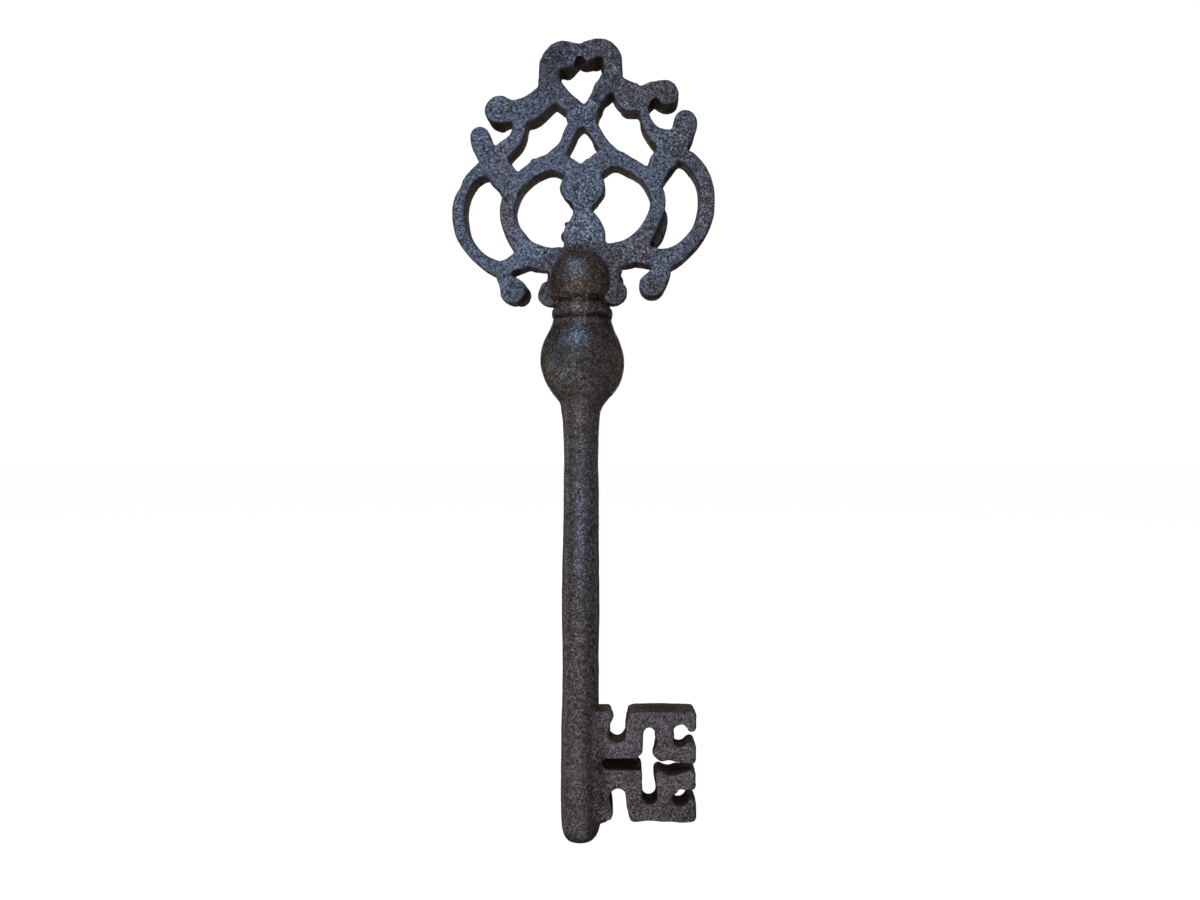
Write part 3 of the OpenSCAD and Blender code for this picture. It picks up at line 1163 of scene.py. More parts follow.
@dataclass
class Collar(TurnedPiece):
    """The bead and the cove under the head."""

    part: Part = Part.COLLAR
    stations: tuple[Station, ...] = (
        Station(182.5, 9.8, 0.1, True), Station(183.4, 10.4, 0.1), Station(184.5, 10.6, 0.1),
        Station(185.6, 10.4, 0.1), Station(186.4, 9.8), Station(187.4, 9.5, -0.1),
        Station(189.0, 9.2, -0.3, True))
    blemishes: tuple[Blemish, ...] = (
        crumbs_round(188.2, 3.4, 0.75), crumbs_round(183.0, 2.2, 0.5))
    colour_marks: tuple[ColourMark, ...] = (
        # painted highlight on the top of the bead
        ColourMark((-1.2, -10.2, 185.9), (6.0, 5.0, 1.6), 1.15),
        # soot and painted shade in the creases above and below the bead, and on its right
        soot_and_shade_round(188.4, 2.1, 0.6),
        ColourMark((5.0, -8.5, 188.2), (5.0, 5.0, 2.0), 0.6, Mask.SOOT_AND_SHADE),
        ColourMark((-6.0, -8.0, 188.4), (4.0, 5.0, 1.5), 0.5, Mask.SOOT_AND_SHADE),
        ColourMark((8.5, -5.0, 185.5), (4.0, 6.0, 3.5), 0.6, Mask.SOOT_AND_SHADE),
        soot_and_shade_round(182.9, 1.3, 0.48),
        ColourMark((6.0, -7.0, 182.9), (6.0, 6.0, 1.5), 0.4, Mask.SOOT_AND_SHADE))
    finish: IronFinish = IronFinish(
        lower=(80, 74, 72), upper=(72, 65, 61), heights=(183.0, 188.0), rusting=0.08,
        speck=(158, 154, 150), stain_and_light=(112, 106, 102), speckle=(0.6, 0.6), grain=0.6, tooth=0.1)


@dataclass
class Baluster(TurnedPiece):
    """The swelling bulb of the stem."""

    part: Part = Part.BALUSTER
    stations: tuple[Station, ...] = (
        Station(152.5, 7.5, 0.0, True), Station(154.0, 8.5, 0.2), Station(157.0, 11.0, 0.4),
        Station(161.0, 13.3, 0.3), Station(167.5, 14.6, 0.1), Station(173.5, 13.6, -0.1),
        Station(179.0, 11.2), Station(182.6, 9.9, 0.1, True))
    steps: int = 208
    depth: float = 0.985
    blemishes: tuple[Blemish, ...] = (crumbs_round(182.4, 1.6, 0.4),)
    colour_marks: tuple[ColourMark, ...] = (
        # painted highlight, bluish, above the belly on the left, with bluish patches left of it and
        # below
        ColourMark((-1.8, -12.5, 174.6), (7.0, 8.0, 7.0), 1.1),
        ColourMark((-7.5, -12.0, 168.0), (5.0, 8.0, 8.0), 0.5),
        ColourMark((-5.0, -13.0, 162.5), (4.0, 6.0, 4.0), 0.4),
        # soot and painted shade under the collar, on the front and down the right side
        soot_and_shade_round(182.4, 1.8, 0.25),
        ColourMark((1.0, -6.0, 181.0), (18.0, 14.0, 4.5), 0.35, Mask.SOOT_AND_SHADE),
        ColourMark((2.0, -14.0, 166.0), (9.0, 8.0, 9.0), 0.5, Mask.SOOT_AND_SHADE),
        ColourMark((8.5, -5.0, 181.0), (5.0, 8.0, 3.5), 0.7, Mask.SOOT_AND_SHADE),
        ColourMark((-7.0, -9.0, 169.5), (6.0, 8.0, 8.0), 0.25, Mask.SOOT_AND_SHADE),
        ColourMark((-13.0, -5.0, 167.5), (4.0, 6.0, 7.0), 0.4, Mask.RUST),
        ColourMark((8.5, -11.0, 170.0), (5.0, 8.0, 9.0), 0.3, Mask.SOOT_AND_SHADE))
    # painted light: the lower half is given a lighter colour than the upper
    finish: IronFinish = IronFinish(
        lower=(95, 86, 86), upper=(66, 60, 56), heights=(156.0, 167.0), rusting=0.03,
        speck=(150, 147, 146), stain_and_light=(86, 94, 116), speckle=(0.55, 0.6), grain=0.62, tooth=0.11)


@dataclass
class Shank(TurnedPiece):
    """The long round stem with its blunt tip."""

    part: Part = Part.SHANK
    stations: tuple[Station, ...] = (
        Station(0.4, 1.5, -0.6), Station(0.5, 3.2, -0.6), Station(1.0, 4.7, -0.6),
        Station(2.4, 5.8, -0.5), Station(4.0, 6.4, -0.5), Station(6.5, 6.8, -0.4),
        Station(14.0, 6.9, -0.5), Station(34.0, 6.7, -0.5), Station(54.0, 6.3, -0.5),
        Station(84.0, 6.5, -0.5), Station(120.0, 6.1, -0.3), Station(140.0, 6.1, -0.4),
        Station(150.0, 6.8, -0.4), Station(152.6, 7.5, 0.0, True))
    cuts: int = 12
    colour_marks: tuple[ColourMark, ...] = (
        # painted shade down the crease beside the bit, and a darker tip
        ColourMark((6.3, -5.0, 27.0), (4.6, 6.0, 42.0), 0.75, Mask.SOOT_AND_SHADE),
        ColourMark((0.0, -6.0, 3.0), (10.0, 10.0, 8.0), 0.25, Mask.SOOT_AND_SHADE),
        # painted highlight, bluish, down the front of the shank
        ColourMark((-0.4, -6.3, 112.0), (5.5, 6.0, 34.0), 0.9))
    finish: IronFinish = IronFinish(
        lower=(77, 69, 71), upper=(79, 72, 73), heights=(20.0, 80.0),
        stain_and_light=(82, 84, 97), speck=(150, 147, 151), speckle=(0.44, 0.6), grain=0.58,
        tooth=0.11, gloss=0.28)


@dataclass(frozen=True)
class Lump:
    """A round lump of iron that melts into its neighbours, in millimetres."""

    place: Triple
    radii: Triple
    tilt: float = 0.0


class MeltedPiece(Piece):
    """A plate whose edges and joints are rounded as in a casting.

    Attributes:
        voxel: size of the cells that it is melted in, in millimetres.
        rounds: how many times it is smoothed.
        lumps: the lumps of iron on it.
        stem: rings of the part of the stem that it melts into.
        hidden: how far inside the stem's own pieces that part stays, in millimetres.
    """

    voxel: float
    rounds: int
    lumps: tuple[Lump, ...] = ()
    stem: tuple[Station, ...]
    hidden: float

    def core(self, room: Room) -> bmesh.types.BMesh:
        """Part of the stem that the plate melts into; each plate has its own."""
        raise NotImplementedError

    def fill_crease(self, solid: bmesh.types.BMesh) -> None:
        """Widens the fillet at the stem; a plate with a narrow one keeps it."""

    def trim(self, solid: bmesh.types.BMesh, room: Room) -> None:
        """Cuts off what the stem hides; a plate that hides nothing keeps all."""

    def shape(self, room: Room) -> bpy.types.Mesh:
        """Melts the CAD plate, the stem's core and the lumps into one soft casting.

        Args:
            room: where the key stands.

        Returns:
            The casting's mesh.
        """
        solid = self.core(room)
        solid.from_mesh(bpy.data.objects[self.part.value].data)
        bmesh.ops.remove_doubles(solid, verts=solid.verts[:], dist=CAD_WELD)
        for lump in self.lumps:
            tilt = Euler((0.0, math.radians(lump.tilt), 0.0))
            place = Matrix.LocRotScale(room.point(lump.place), tilt, Vector(lump.radii) * MM)
            bmesh.ops.create_icosphere(solid, subdivisions=3, radius=1.0, matrix=place)
        mesh = bpy.data.meshes.new(self.part.value)
        solid.to_mesh(mesh)
        solid.free()
        melted = self.melt(mesh)
        bpy.data.meshes.remove(mesh)
        solid = bmesh.new()
        solid.from_mesh(melted)
        self.fill_crease(solid)
        self.trim(solid, room)
        solid.to_mesh(melted)
        solid.free()
        melted.name = self.part.value
        return melted

    def melt(self, mesh: bpy.types.Mesh) -> bpy.types.Mesh:
        """Melts overlapping solids into one, and rounds its edges.

        Args:
            mesh: the mesh that holds the solids.

        Returns:
            A new mesh.
        """
        holder = bpy.data.objects.new("melting", mesh)
        bpy.context.scene.collection.objects.link(holder)
        melt = holder.modifiers.new("melt", "REMESH")
        melt.mode = "VOXEL"
        melt.voxel_size = self.voxel * MM
        soften = holder.modifiers.new("soften", "SMOOTH")
        soften.factor = 0.5
        soften.iterations = self.rounds
        bpy.context.view_layer.update()
        ready = holder.evaluated_get(bpy.context.evaluated_depsgraph_get())
        melted = bpy.data.meshes.new_from_object(ready)
        bpy.data.objects.remove(holder)
        return melted


@dataclass
class Bow(MeltedPiece):
    """The openwork plate, melted into the head and the collar.

    Attributes:
        web_place: middle of the web of iron that joins the plate to the head.
        web_size: its width, depth and height.
    """

    part: Part = Part.BOW
    voxel: float = 0.45
    rounds: int = 5
    growth: float = 0.22
    shift: tuple[float, float] = (0.3, 0.3)
    web_place: Triple = (0.0, 0.0, 192.3)
    web_size: Triple = (22.4, 8.9, 6.6)
    hidden: float = 0.4
    stem: tuple[Station, ...] = field(
        default_factory=lambda: (Station(184.0, 9.9, 0.1, True), *Collar().stations[3:],
                                 *Head().stations[1:]))
    lumps: tuple[Lump, ...] = (
        Lump((-10.9, 0.0, 191.0), (3.8, 4.9, 3.4)),
        Lump((11.0, 0.4, 191.5), (3.6, 4.4, 3.3)),
        Lump((11.9, 0.4, 195.2), (2.3, 4.2, 2.6)),
        Lump((26.9, 1.8, 214.4), (2.5, 2.8, 7.0), 13.0),
        Lump((-21.6, 2.4, 190.7), (3.2, 2.0, 3.6)),
        Lump((-5.6, -1.6, 211.0), (1.5, 1.9, 1.7)),
        Lump((-5.1, -1.6, 215.2), (1.0, 1.3, 0.8)),
        Lump((-16.6, -1.6, 236.8), (1.5, 2.3, 1.2), -20.0),
        Lump((-13.2, -1.6, 237.8), (1.3, 2.1, 1.2)),
        Lump((-9.7, -1.6, 240.4), (1.1, 1.9, 1.3)),
        Lump((2.2, -1.6, 236.6), (1.6, 2.0, 1.3)),
        Lump((4.9, -1.6, 238.6), (1.4, 2.0, 1.2)))
    blemishes: tuple[Blemish, ...] = (
        Blemish((-41.8, -3.5, 227.4), (2.2, 3.0, 3.0), -0.45),
        Blemish((-12.4, -4.5, 272.2), (2.6, 1.5, 0.7), -0.45),
        Blemish((-7.5, -4.5, 272.0), (1.8, 1.5, 2.2), -0.35),
        Blemish((15.0, -4.5, 256.6), (1.7, 1.5, 1.4), -0.35),
        Blemish((0.0, 0.0, 188.6), (16.0, 14.0, 3.4), 0.0, 0.5),
        # crown and shoulders
        at_front(-1, 272, 3, -1.4), at_front(5, 272, 4, -0.5), at_front(-1, 277, 2, -0.5),
        at_back(-5, 268, 4, 1.3), at_back(0, 272, 4, 0.9), at_back(6, 271, 4, 1.3),
        at_front(-29, 250, 5, -0.9), at_back(-26, 250, 3, -0.9), at_front(-33, 254, 4, 0.3),
        at_front(25, 258, 4, -1.4), at_front(30, 256, 4, -0.4), at_front(32, 262, 4, -0.4),
        at_back(32, 257, 4, 0.5), at_back(6, 255, 4, 0.8), at_back(9, 260, 4, 0.6),
        at_back(14, 257, 3, -1.2), at_front(-9, 276, 5, 0.4), at_front(13, 273, 4, 0.4),
        at_front(5, 263, 4, 0.5),
        # stalks, leaves and the small window under the knot
        at_front(38, 242, 3, -0.9), at_front(39, 249, 4, 0.4), at_front(26, 243, 4, -0.5),
        at_back(-16, 251, 4, 0.3), at_back(-3, 245, 4, 0.3), at_back(3, 247, 4, -0.8),
        at_back(1, 250, 3, -0.6),
        # rings, arcs and the waist of the pillar
        at_back(12, 235, 5, -0.3), at_back(20, 231, 5, -0.4), at_front(30, 233, 4, -0.8),
        at_front(-28, 226, 3, -0.6), at_back(-30, 230, 4, -1.0), at_front(6, 223, 4, -0.9),
        at_back(5, 224, 4, -1.3), at_front(-4, 222, 3, -1.1), at_back(-5, 224, 4, -0.9),
        at_front(-7, 227, 3, 0.5), at_front(8, 208, 2, 0.5), at_front(-11, 207, 4, -0.6),
        at_front(-27, 203, 4, -0.6), at_front(-6, 210, 3, 0.4), at_front(-20, 211, 4, 0.3),
        at_back(40, 217, 6, 0.4), at_front(27, 208, 3, -0.6),
        # lower right arc and the feet
        at_front(33, 201, 4, -0.6), at_front(37, 205, 4, -0.6), at_front(41, 209, 4, -0.5),
        at_front(43, 214, 4, -0.4), at_front(29, 195, 4, -0.6), at_front(26, 191, 4, -0.6),
        at_front(23, 189, 4, -0.5), at_front(-20, 189, 4, -0.4), at_front(-29, 193, 4, -0.5),
        at_back(-18, 192, 4, 0.3), at_front(-20, 196, 3, -0.4), at_front(21, 198, 3, -0.4),
        # arches, web and lobes beside the head
        at_front(-23, 199, 3, -0.7), at_back(-17, 201, 4, 0.4), at_front(-13, 199, 3, 0.8),
        at_front(-13, 195, 3, 0.5), at_front(13, 199, 3, 0.8), at_back(18, 202, 5, 0.5),
        at_front(15, 193, 4, 0.2), at_front(13, 189, 3, -1.0), at_back(13, 188, 4, -0.9),
        at_back(-13, 188, 5, -1.0), at_front(-15, 192, 3, -0.3))
    colour_marks: tuple[ColourMark, ...] = (
        # beside the head and over it: browner lobes, and painted shade where the plate meets the head
        ColourMark((-12.0, -3.0, 191.5), (12.0, 14.0, 11.0), 0.32, Mask.RUST),
        ColourMark((-12.5, -3.0, 191.0), (10.0, 12.0, 9.0), 1.4),
        ColourMark((13.0, -3.0, 190.5), (7.0, 12.0, 8.0), 1.2),
        ColourMark((12.5, -4.0, 189.5), (7.0, 10.0, 7.0), 0.55, Mask.SOOT_AND_SHADE),
        ColourMark((-0.5, -4.6, 205.8), (14.0, 6.0, 5.0), 1.1),
        ColourMark((-0.5, -4.6, 205.8), (14.5, 6.0, 4.6), 0.45, Mask.SOOT_AND_SHADE),
        ColourMark((12.0, -4.6, 200.0), (6.0, 6.0, 8.0), 1.0),
        ColourMark((11.6, -4.6, 200.0), (5.0, 6.0, 8.0), 0.4, Mask.SOOT_AND_SHADE),
        ColourMark((-12.4, -4.6, 200.0), (5.0, 6.0, 8.0), 0.9),
        ColourMark((-12.4, -4.6, 200.0), (4.5, 6.0, 7.0), 0.3, Mask.SOOT_AND_SHADE),
        # dent in the crown, feet, left ring and right leaf
        ColourMark((-7.6, -4.5, 272.4), (4.0, 8.0, 5.0), 0.4, Mask.SOOT_AND_SHADE),
        ColourMark((24.5, -4.0, 192.5), (8.0, 9.0, 8.0), 0.7),
        ColourMark((24.0, -4.0, 192.0), (8.0, 9.0, 8.0), 0.25, Mask.SOOT_AND_SHADE),
        ColourMark((-24.0, -4.0, 190.0), (8.0, 9.0, 9.0), 0.35, Mask.SOOT_AND_SHADE),
        ColourMark((-26.0, -4.0, 217.0), (6.0, 8.0, 17.0), 0.9),
        ColourMark((36.0, -4.0, 249.0), (7.0, 8.0, 9.0), 0.6),
        # where the grain glints, and one band where it doesn't
        ColourMark((0.5, -4.6, 214.0), (11.0, 8.0, 11.0), 1.5, Mask.GLINT),
        ColourMark((-29.5, -4.6, 256.5), (7.0, 6.0, 6.0), 1.1, Mask.GLINT),
        ColourMark((1.0, -4.6, 254.5), (6.0, 6.0, 7.0), 1.3, Mask.GLINT),
        ColourMark((0.8, -4.6, 228.0), (8.0, 6.0, 8.0), 0.5, Mask.GLINT),
        ColourMark((-0.5, -4.6, 204.5), (16.0, 6.0, 5.4), -1.1, Mask.GLINT),
        ColourMark((-15.0, -4.6, 205.5), (10.0, 8.0, 7.0), 0.8, Mask.GLINT),
        ColourMark((22.0, -4.6, 206.0), (18.0, 8.0, 12.0), 0.6, Mask.GLINT),
        ColourMark((33.0, -4.6, 245.0), (9.0, 8.0, 10.0), 0.7, Mask.GLINT),
        ColourMark((43.0, -4.6, 221.0), (5.0, 8.0, 18.0), 0.5, Mask.GLINT),
        ColourMark((17.5, -4.6, 263.0), (7.0, 6.0, 5.0), 0.9, Mask.GLINT),
        ColourMark((11.3, -4.6, 268.0), (2.8, 4.0, 4.0), 1.6, Mask.GLINT),
        ColourMark((15.2, -4.6, 256.2), (2.2, 4.0, 2.2), 3.0, Mask.GLINT),
        ColourMark((-12.0, -4.6, 271.8), (3.2, 4.0, 1.0), 2.4, Mask.GLINT),
        # greyer and browner fields of the plate
        ColourMark((24.0, 0.0, 262.0), (20.0, 20.0, 18.0), 1.1),
        ColourMark((8.0, 0.0, 277.0), (12.0, 20.0, 9.0), 0.8),
        ColourMark((43.0, 0.0, 222.0), (12.0, 20.0, 28.0), 1.0),
        ColourMark((27.0, 2.0, 213.0), (4.0, 6.0, 8.0), 1.2),
        ColourMark((27.0, 2.0, 213.0), (4.0, 6.0, 8.0), 0.5, Mask.RUST),
        ColourMark((22.0, -4.0, 208.0), (15.0, 10.0, 14.0), 0.9),
        ColourMark((34.0, -4.0, 240.0), (10.0, 8.0, 13.0), 0.8),
        ColourMark((-27.0, -4.0, 236.0), (9.0, 8.0, 10.0), 0.5),
        # walls inside the openings: painted shade, with rust on some
        on_walls(10.5, 259.5, 4.0, 3.0, 0.25), on_walls(25.0, 258.0, 2.4, 2.4, 0.3),
        on_walls(-8.0, 267.5, 5.0, 5.0, 0.65), on_walls(3.0, 271.0, 8.0, 5.0, 0.4),
        on_walls(-30.0, 250.0, 8.0, 4.5, 0.55), on_walls(-30.0, 250.0, 9.0, 6.0, 0.5, Mask.RUST),
        on_walls(-23.0, 241.0, 5.0, 7.0, 0.35), on_walls(-12.0, 234.0, 11.0, 6.0, 0.35),
        on_walls(10.0, 234.5, 8.0, 3.5, 0.3), on_walls(5.0, 224.5, 5.0, 4.0, 0.4),
        on_walls(31.0, 234.0, 6.0, 6.0, 0.3), on_walls(-36.0, 230.0, 6.0, 8.0, 0.4),
        on_walls(-41.0, 220.0, 5.0, 9.0, 0.4),
        ColourMark((25.6, 2.0, 209.5), (3.0, 8.0, 4.0), 0.25, Mask.SOOT_AND_SHADE, walls=True),
        on_walls(-23.5, 197.5, 3.0, 4.0, 0.5), on_walls(-17.0, 200.0, 8.0, 4.0, 0.6, Mask.RUST),
        on_walls(19.0, 200.5, 9.0, 4.0, 0.7, Mask.RUST),
        on_walls(3.0, 271.0, 8.0, 5.0, 0.5, Mask.RUST),
        on_walls(33.0, 234.5, 14.0, 9.0, 0.4, Mask.RUST))
    # painted light: bluer and brighter low down, darker towards the crown, as the lamp's sheen falls
    # off
    finish: IronFinish = IronFinish(
        lower=(88, 96, 114), upper=(65, 66, 74), heights=(242.0, 269.0), speckle=(0.58, 0.42),
        stain_and_light=(79, 73, 76), stain_and_light_speck=(164, 162, 172), side_rust=(98, 73, 64),
        olive=(94, 85, 72), grime_and_shade=(70, 57, 49), side_rust_and_shade=0.55, rims=0.25, rubbing=0.15,
        grain=0.56, tooth=0.13)

    def core(self, room: Room) -> bmesh.types.BMesh:
        """Makes the collar and the head, a little inside their own pieces, with the web.

        Args:
            room: where the key stands.

        Returns:
            The solids, overlapping each other.
        """
        solid = turn(self.stem, room, steps=96, cuts=4, grow=-self.hidden)
        web = Matrix.LocRotScale(room.point(self.web_place), None, Vector(self.web_size) * MM)
        bmesh.ops.create_cube(solid, size=1.0, matrix=web)
        return solid


@dataclass
class Bit(MeltedPiece):
    """The warded flag, melted into the side of the shank.

    Attributes:
        crease: where the crease at the shank begins and ends across, in millimetres.
        crease_depth: how far from the middle plane it begins.
        filling: how many times it is smoothed.
        cut: place across of the cut that takes off the core's far side.
    """

    part: Part = Part.BIT
    voxel: float = 0.33
    rounds: int = 6
    growth: float = 0.26
    hidden: float = 0.34
    crease: tuple[float, float] = (2.4, 8.8)
    crease_depth: float = 2.5
    filling: int = 60
    cut: float = 1.6
    stem: tuple[Station, ...] = field(
        default_factory=lambda: (Station(4.5, 6.3, -0.5, True), *Shank().stations[5:8],
                                 Station(52.0, 6.3, -0.5, True)))
    lumps: tuple[Lump, ...] = (
        Lump((7.4, 0.0, 9.0), (2.6, 3.6, 2.2)),
        Lump((6.1, 0.0, 7.7), (1.2, 3.2, 1.2)))
    blemishes: tuple[Blemish, ...] = (
        # upper and lower edge
        Blemish((27.0, 3.6, 46.1), (13.0, 6.0, 3.0), 0.45, sideways=True),
        Blemish((23.5, -3.6, 8.4), (5.0, 6.0, 2.6), -0.5, sideways=True),
        at_front(9, 9, 3, -0.8), at_front(17, 10, 3, 0.5), at_front(35, 8, 4, 0.4),
        # outer edge
        at_front(39, 23, 4, -0.3), at_front(39, 37, 3, 0.3), at_front(39, 46, 3, 0.2),
        # notches
        at_front(10, 45, 4, 0.7), at_front(10, 40, 2, 0.4), at_front(15, 45, 4, -0.5),
        at_back(15, 40, 4, -0.8), at_back(15, 45, 4, -1.0), at_back(13, 36, 3, -0.4),
        at_front(10, 16, 4, -0.8), at_front(15, 17, 4, -0.3), at_back(16, 15, 3, -0.3),
        # window and slit
        at_back(25, 32, 3, -1.0), at_front(25, 35, 3, -0.8), at_back(26, 34, 4, -1.2),
        at_front(23, 41, 3, -0.4), at_back(26, 22, 4, 0.3), at_front(20, 29, 3, -1.0),
        at_front(20, 21, 4, -0.3), at_front(27, 29, 3, 0.7), at_front(30, 30, 3, -0.3),
        at_back(31, 25, 4, 0.6), at_back(33, 25, 3, 0.6),
        # hooks
        at_back(35, 35, 4, -1.3), at_front(36, 41, 3, -0.8), at_front(32, 38, 3, 0.4),
        at_front(32, 19, 3, 0.9), at_front(34, 20, 2, -0.4))
    colour_marks: tuple[ColourMark, ...] = (
        # painted shade: near black in the blind slot, on the walls of the openings and down the
        # crease at the shank
        ColourMark((14.0, -0.4, 28.2), (11.5, 3.9, 3.4), 1.8, Mask.SOOT_AND_SHADE),
        ColourMark((14.0, -0.4, 28.2), (11.5, 3.9, 3.4), -1.6, Mask.GLINT),
        on_walls(24.0, 15.0, 5.0, 5.0, 1.6), on_walls(32.0, 26.5, 10.0, 4.5, 1.1),
        on_walls(34.0, 15.5, 6.0, 5.0, 1.2), on_walls(34.0, 35.0, 6.0, 4.0, 0.9),
        on_walls(20.5, 30.0, 2.5, 14.0, 0.3), on_walls(34.0, 20.0, 6.0, 3.0, 0.5),
        ColourMark((6.3, -5.0, 27.0), (4.6, 6.0, 42.0), 0.75, Mask.SOOT_AND_SHADE))
    finish: IronFinish = IronFinish(
        lower=(87, 77, 77), upper=(99, 91, 95), heights=(8.0, 40.0), side_rust=(72, 57, 44),
        olive=(82, 71, 56), grime_and_shade=(48, 36, 30), speck=(150, 149, 156), speckle=(0.5, 0.55),
        side_rust_and_shade=0.6, rims=0.25, grain=0.56, tooth=0.11, gloss=0.01, metallic=0.45)

    def core(self, room: Room) -> bmesh.types.BMesh:
        """Makes the shank beside the bit, a little inside the shank's own piece."""
        return turn(self.stem, room, steps=96, cuts=10, grow=-self.hidden)

    def fill_crease(self, solid: bmesh.types.BMesh) -> None:
        """Lets the bit run softly into the round of the shank.

        Args:
            solid: the melted bit.
        """
        low, high = self.crease
        band = [v for v in solid.verts
                if low * MM < v.co.x < high * MM and abs(v.co.y) > self.crease_depth * MM]
        for _ in range(self.filling):
            bmesh.ops.smooth_vert(solid, verts=band, factor=0.5, use_axis_x=True,
                                  use_axis_y=True, use_axis_z=False)

    def trim(self, solid: bmesh.types.BMesh, room: Room) -> None:
        """Cuts off the far side of the shank's core and closes the cut.

        Args:
            solid: the melted bit.
            room: where the key stands; not used.
        """
        cut = bmesh.ops.bisect_plane(
            solid, geom=solid.verts[:] + solid.edges[:] + solid.faces[:],
            plane_co=(self.cut * MM, 0.0, 0.0), plane_no=(1.0, 0.0, 0.0), clear_inner=True)
        rim = [e for e in cut["geom_cut"] if isinstance(e, bmesh.types.BMEdge)]
        bmesh.ops.holes_fill(solid, edges=rim, sides=0)
        bmesh.ops.recalc_face_normals(solid, faces=solid.faces[:])


# Studio


@dataclass(frozen=True)
class SoftLight:
    """A large soft lamp.

    Attributes:
        place: where it hangs, in metres.
        size: its width and height, in metres.
        power: its power in watts.
        colour: its colour.
    """

    place: Triple
    size: tuple[float, float]
    power: float
    colour: Triple


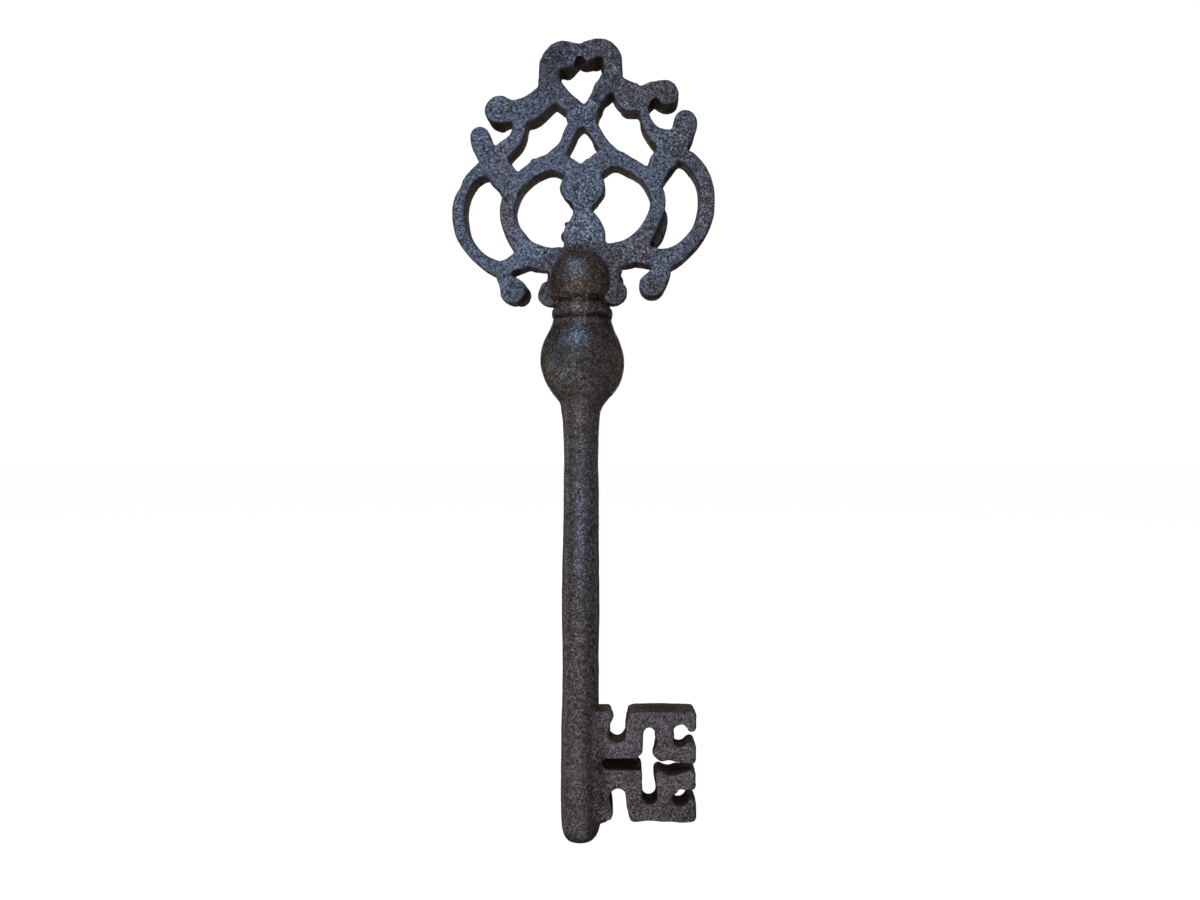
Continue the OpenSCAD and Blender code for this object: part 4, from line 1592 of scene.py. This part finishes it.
@dataclass(frozen=True)
class Studio:
    """Plain pale floor, soft light and the photograph's viewing angle.

    Attributes:
        eye: where the camera stands, in metres.
        lens: its focal length, in millimetres.
        sensor: width of its sensor, in millimetres.
        aim: the point that the lamps face, in metres.
        floor_radius: radius of the floor, in metres.
        floor_gap: how far the floor lies under the tip, in metres.
        floor_grey: share of the light that the floor throws back.
        floor_glow: how brightly the floor shines by itself.
        backdrop: how brightly the white round it shines.
        ambient: colour and strength of the light from all sides.
        lights: the lamps.
    """

    eye: Triple = (0.0063, -0.3018, -0.1351)
    lens: float = 25.84
    sensor: float = 36.0
    aim: Triple = (0.0, 0.0, -0.1)
    floor_radius: float = 8.0
    floor_gap: float = 0.0002
    floor_grey: float = 0.25
    floor_glow: float = 0.97
    backdrop: float = 1.05
    ambient: Triple = (0.08, 0.074, 0.07)
    lights: tuple[SoftLight, ...] = (
        SoftLight((-0.2, -1.1, -0.2), (0.8, 1.4), 8.2, (0.91, 0.96, 1.0)),
        SoftLight((0.2, -0.75, -1.15), (0.6, 0.6), 5.8, (1.0, 0.96, 0.9)),
        SoftLight((-0.8, -0.6, -0.75), (0.6, 0.6), 5.6, (1.0, 0.96, 0.91)),
        SoftLight((-1.0, 0.3, -0.4), (0.4, 1.0), 4.0, (1.0, 0.93, 0.82)),
        SoftLight((-0.22, -0.68, 0.72), (0.36, 0.36), 3.6, (0.84, 0.92, 1.0)),
        SoftLight((0.8, -0.7, 0.0), (0.5, 0.9), 0.7, (1.0, 0.93, 0.86)),
        SoftLight((1.0, 0.45, -0.2), (0.4, 1.0), 1.3, (1.0, 0.9, 0.78)),
        SoftLight((0.0, 1.1, 0.1), (0.8, 0.8), 6.5, (0.95, 0.97, 1.0)))

    def build(self, room: Room) -> None:
        """Sets up the camera, the lights, the floor and the world.

        Args:
            room: where the key stands.
        """
        self.build_camera()
        self.build_lights()
        self.build_floor(room)
        self.build_world()
        bpy.context.scene.view_settings.view_transform = "Standard"

    def build_camera(self) -> None:
        """Sets up the camera, level and facing the front of the key."""
        camera = bpy.data.cameras.new("photograph")
        camera.lens = self.lens
        camera.sensor_width = self.sensor
        camera.sensor_fit = "HORIZONTAL"
        camera.clip_start = 0.01
        viewer = self.place("photograph", camera, Vector(self.eye))
        viewer.rotation_euler = (math.radians(90.0), 0.0, 0.0)
        bpy.context.scene.camera = viewer

    def build_lights(self) -> None:
        """Hangs the soft lamps, all turned to one point."""
        for i, light in enumerate(self.lights):
            lamp = bpy.data.lights.new(f"soft_light_{i}", "AREA")
            lamp.shape = "RECTANGLE"
            lamp.size, lamp.size_y = light.size
            lamp.energy = light.power
            lamp.color = light.colour
            holder = self.place(lamp.name, lamp, Vector(light.place))
            ahead = Vector(self.aim) - holder.location
            holder.rotation_euler = ahead.to_track_quat("-Z", "Y").to_euler()
            holder.visible_camera = False

    @staticmethod
    def place(name: str, data: bpy.types.ID, where: Vector) -> bpy.types.Object:
        """Puts a new object in the scene.

        Args:
            name: its name.
            data: its mesh, lamp or camera.
            where: its place, in metres.

        Returns:
            The object.
        """
        thing = bpy.data.objects.new(name, data)
        thing.location = where
        bpy.context.scene.collection.objects.link(thing)
        return thing

    def build_floor(self, room: Room) -> None:
        """Lays a plain white floor under the tip.

        Args:
            room: where the key stands.
        """
        disc = bmesh.new()
        bmesh.ops.create_circle(disc, cap_ends=True, segments=64, radius=self.floor_radius)
        mesh = bpy.data.meshes.new("floor")
        disc.to_mesh(mesh)
        disc.free()
        floor = self.place("floor", mesh, Vector((0.0, 0.0, room.tip - self.floor_gap)))
        material = bpy.data.materials.new("pale_floor")
        material.use_nodes = True
        shader = material.node_tree.nodes["Principled BSDF"]
        grey = self.floor_grey
        shader.inputs["Base Color"].default_value = (grey, grey, grey, 1.0)
        shader.inputs["Roughness"].default_value = 1.0
        shader.inputs["Specular IOR Level"].default_value = 0.0
        shader.inputs["Emission Color"].default_value = (1.0, 1.0, 1.0, 1.0)
        shader.inputs["Emission Strength"].default_value = self.floor_glow
        mesh.materials.append(material)
        floor.visible_diffuse = False
        floor.visible_glossy = False
        floor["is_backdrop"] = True

    def build_world(self) -> None:
        """Surrounds the key with white, and lights it with a dimmer, warmer grey."""
        world = bpy.data.worlds.new("studio")
        bpy.context.scene.world = world
        world.use_nodes = True
        world.node_tree.nodes.clear()
        w = Wiring(world.node_tree)
        seen = w.add("ShaderNodeBackground", "seen")
        w.feed(seen.inputs["Color"], (1.0, 1.0, 1.0, 1.0))
        w.feed(seen.inputs["Strength"], self.backdrop)
        lighting = w.add("ShaderNodeBackground", "lighting")
        w.feed(lighting.inputs["Color"], (*self.ambient, 1.0))
        mix = w.add("ShaderNodeMixShader", "seen or lighting")
        rays = w.add("ShaderNodeLightPath", "rays")
        w.feed(mix.inputs[0], rays.outputs["Is Camera Ray"])
        w.feed(mix.inputs[1], lighting.outputs[0])
        w.feed(mix.inputs[2], seen.outputs[0])
        output = w.add("ShaderNodeOutputWorld", "world")
        w.feed(output.inputs["Surface"], mix.outputs[0])


def main() -> None:
    """Builds the key's pieces in order, dresses them and sets up the studio."""
    logging.basicConfig(level=logging.INFO, format="%(message)s")
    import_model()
    room = Room()
    Studio().build(room)
    skin = CastSkin()
    pieces = [Bow(), Head(), Collar(), Baluster(), Shank(), Bit()]
    for piece in pieces:
        piece.build(room, skin)
    near = Surroundings([p.mesh for p in pieces])
    effects = IronEffects()
    for piece in pieces:
        piece.dress(room, near, effects)


if __name__ == "__main__":
    main()
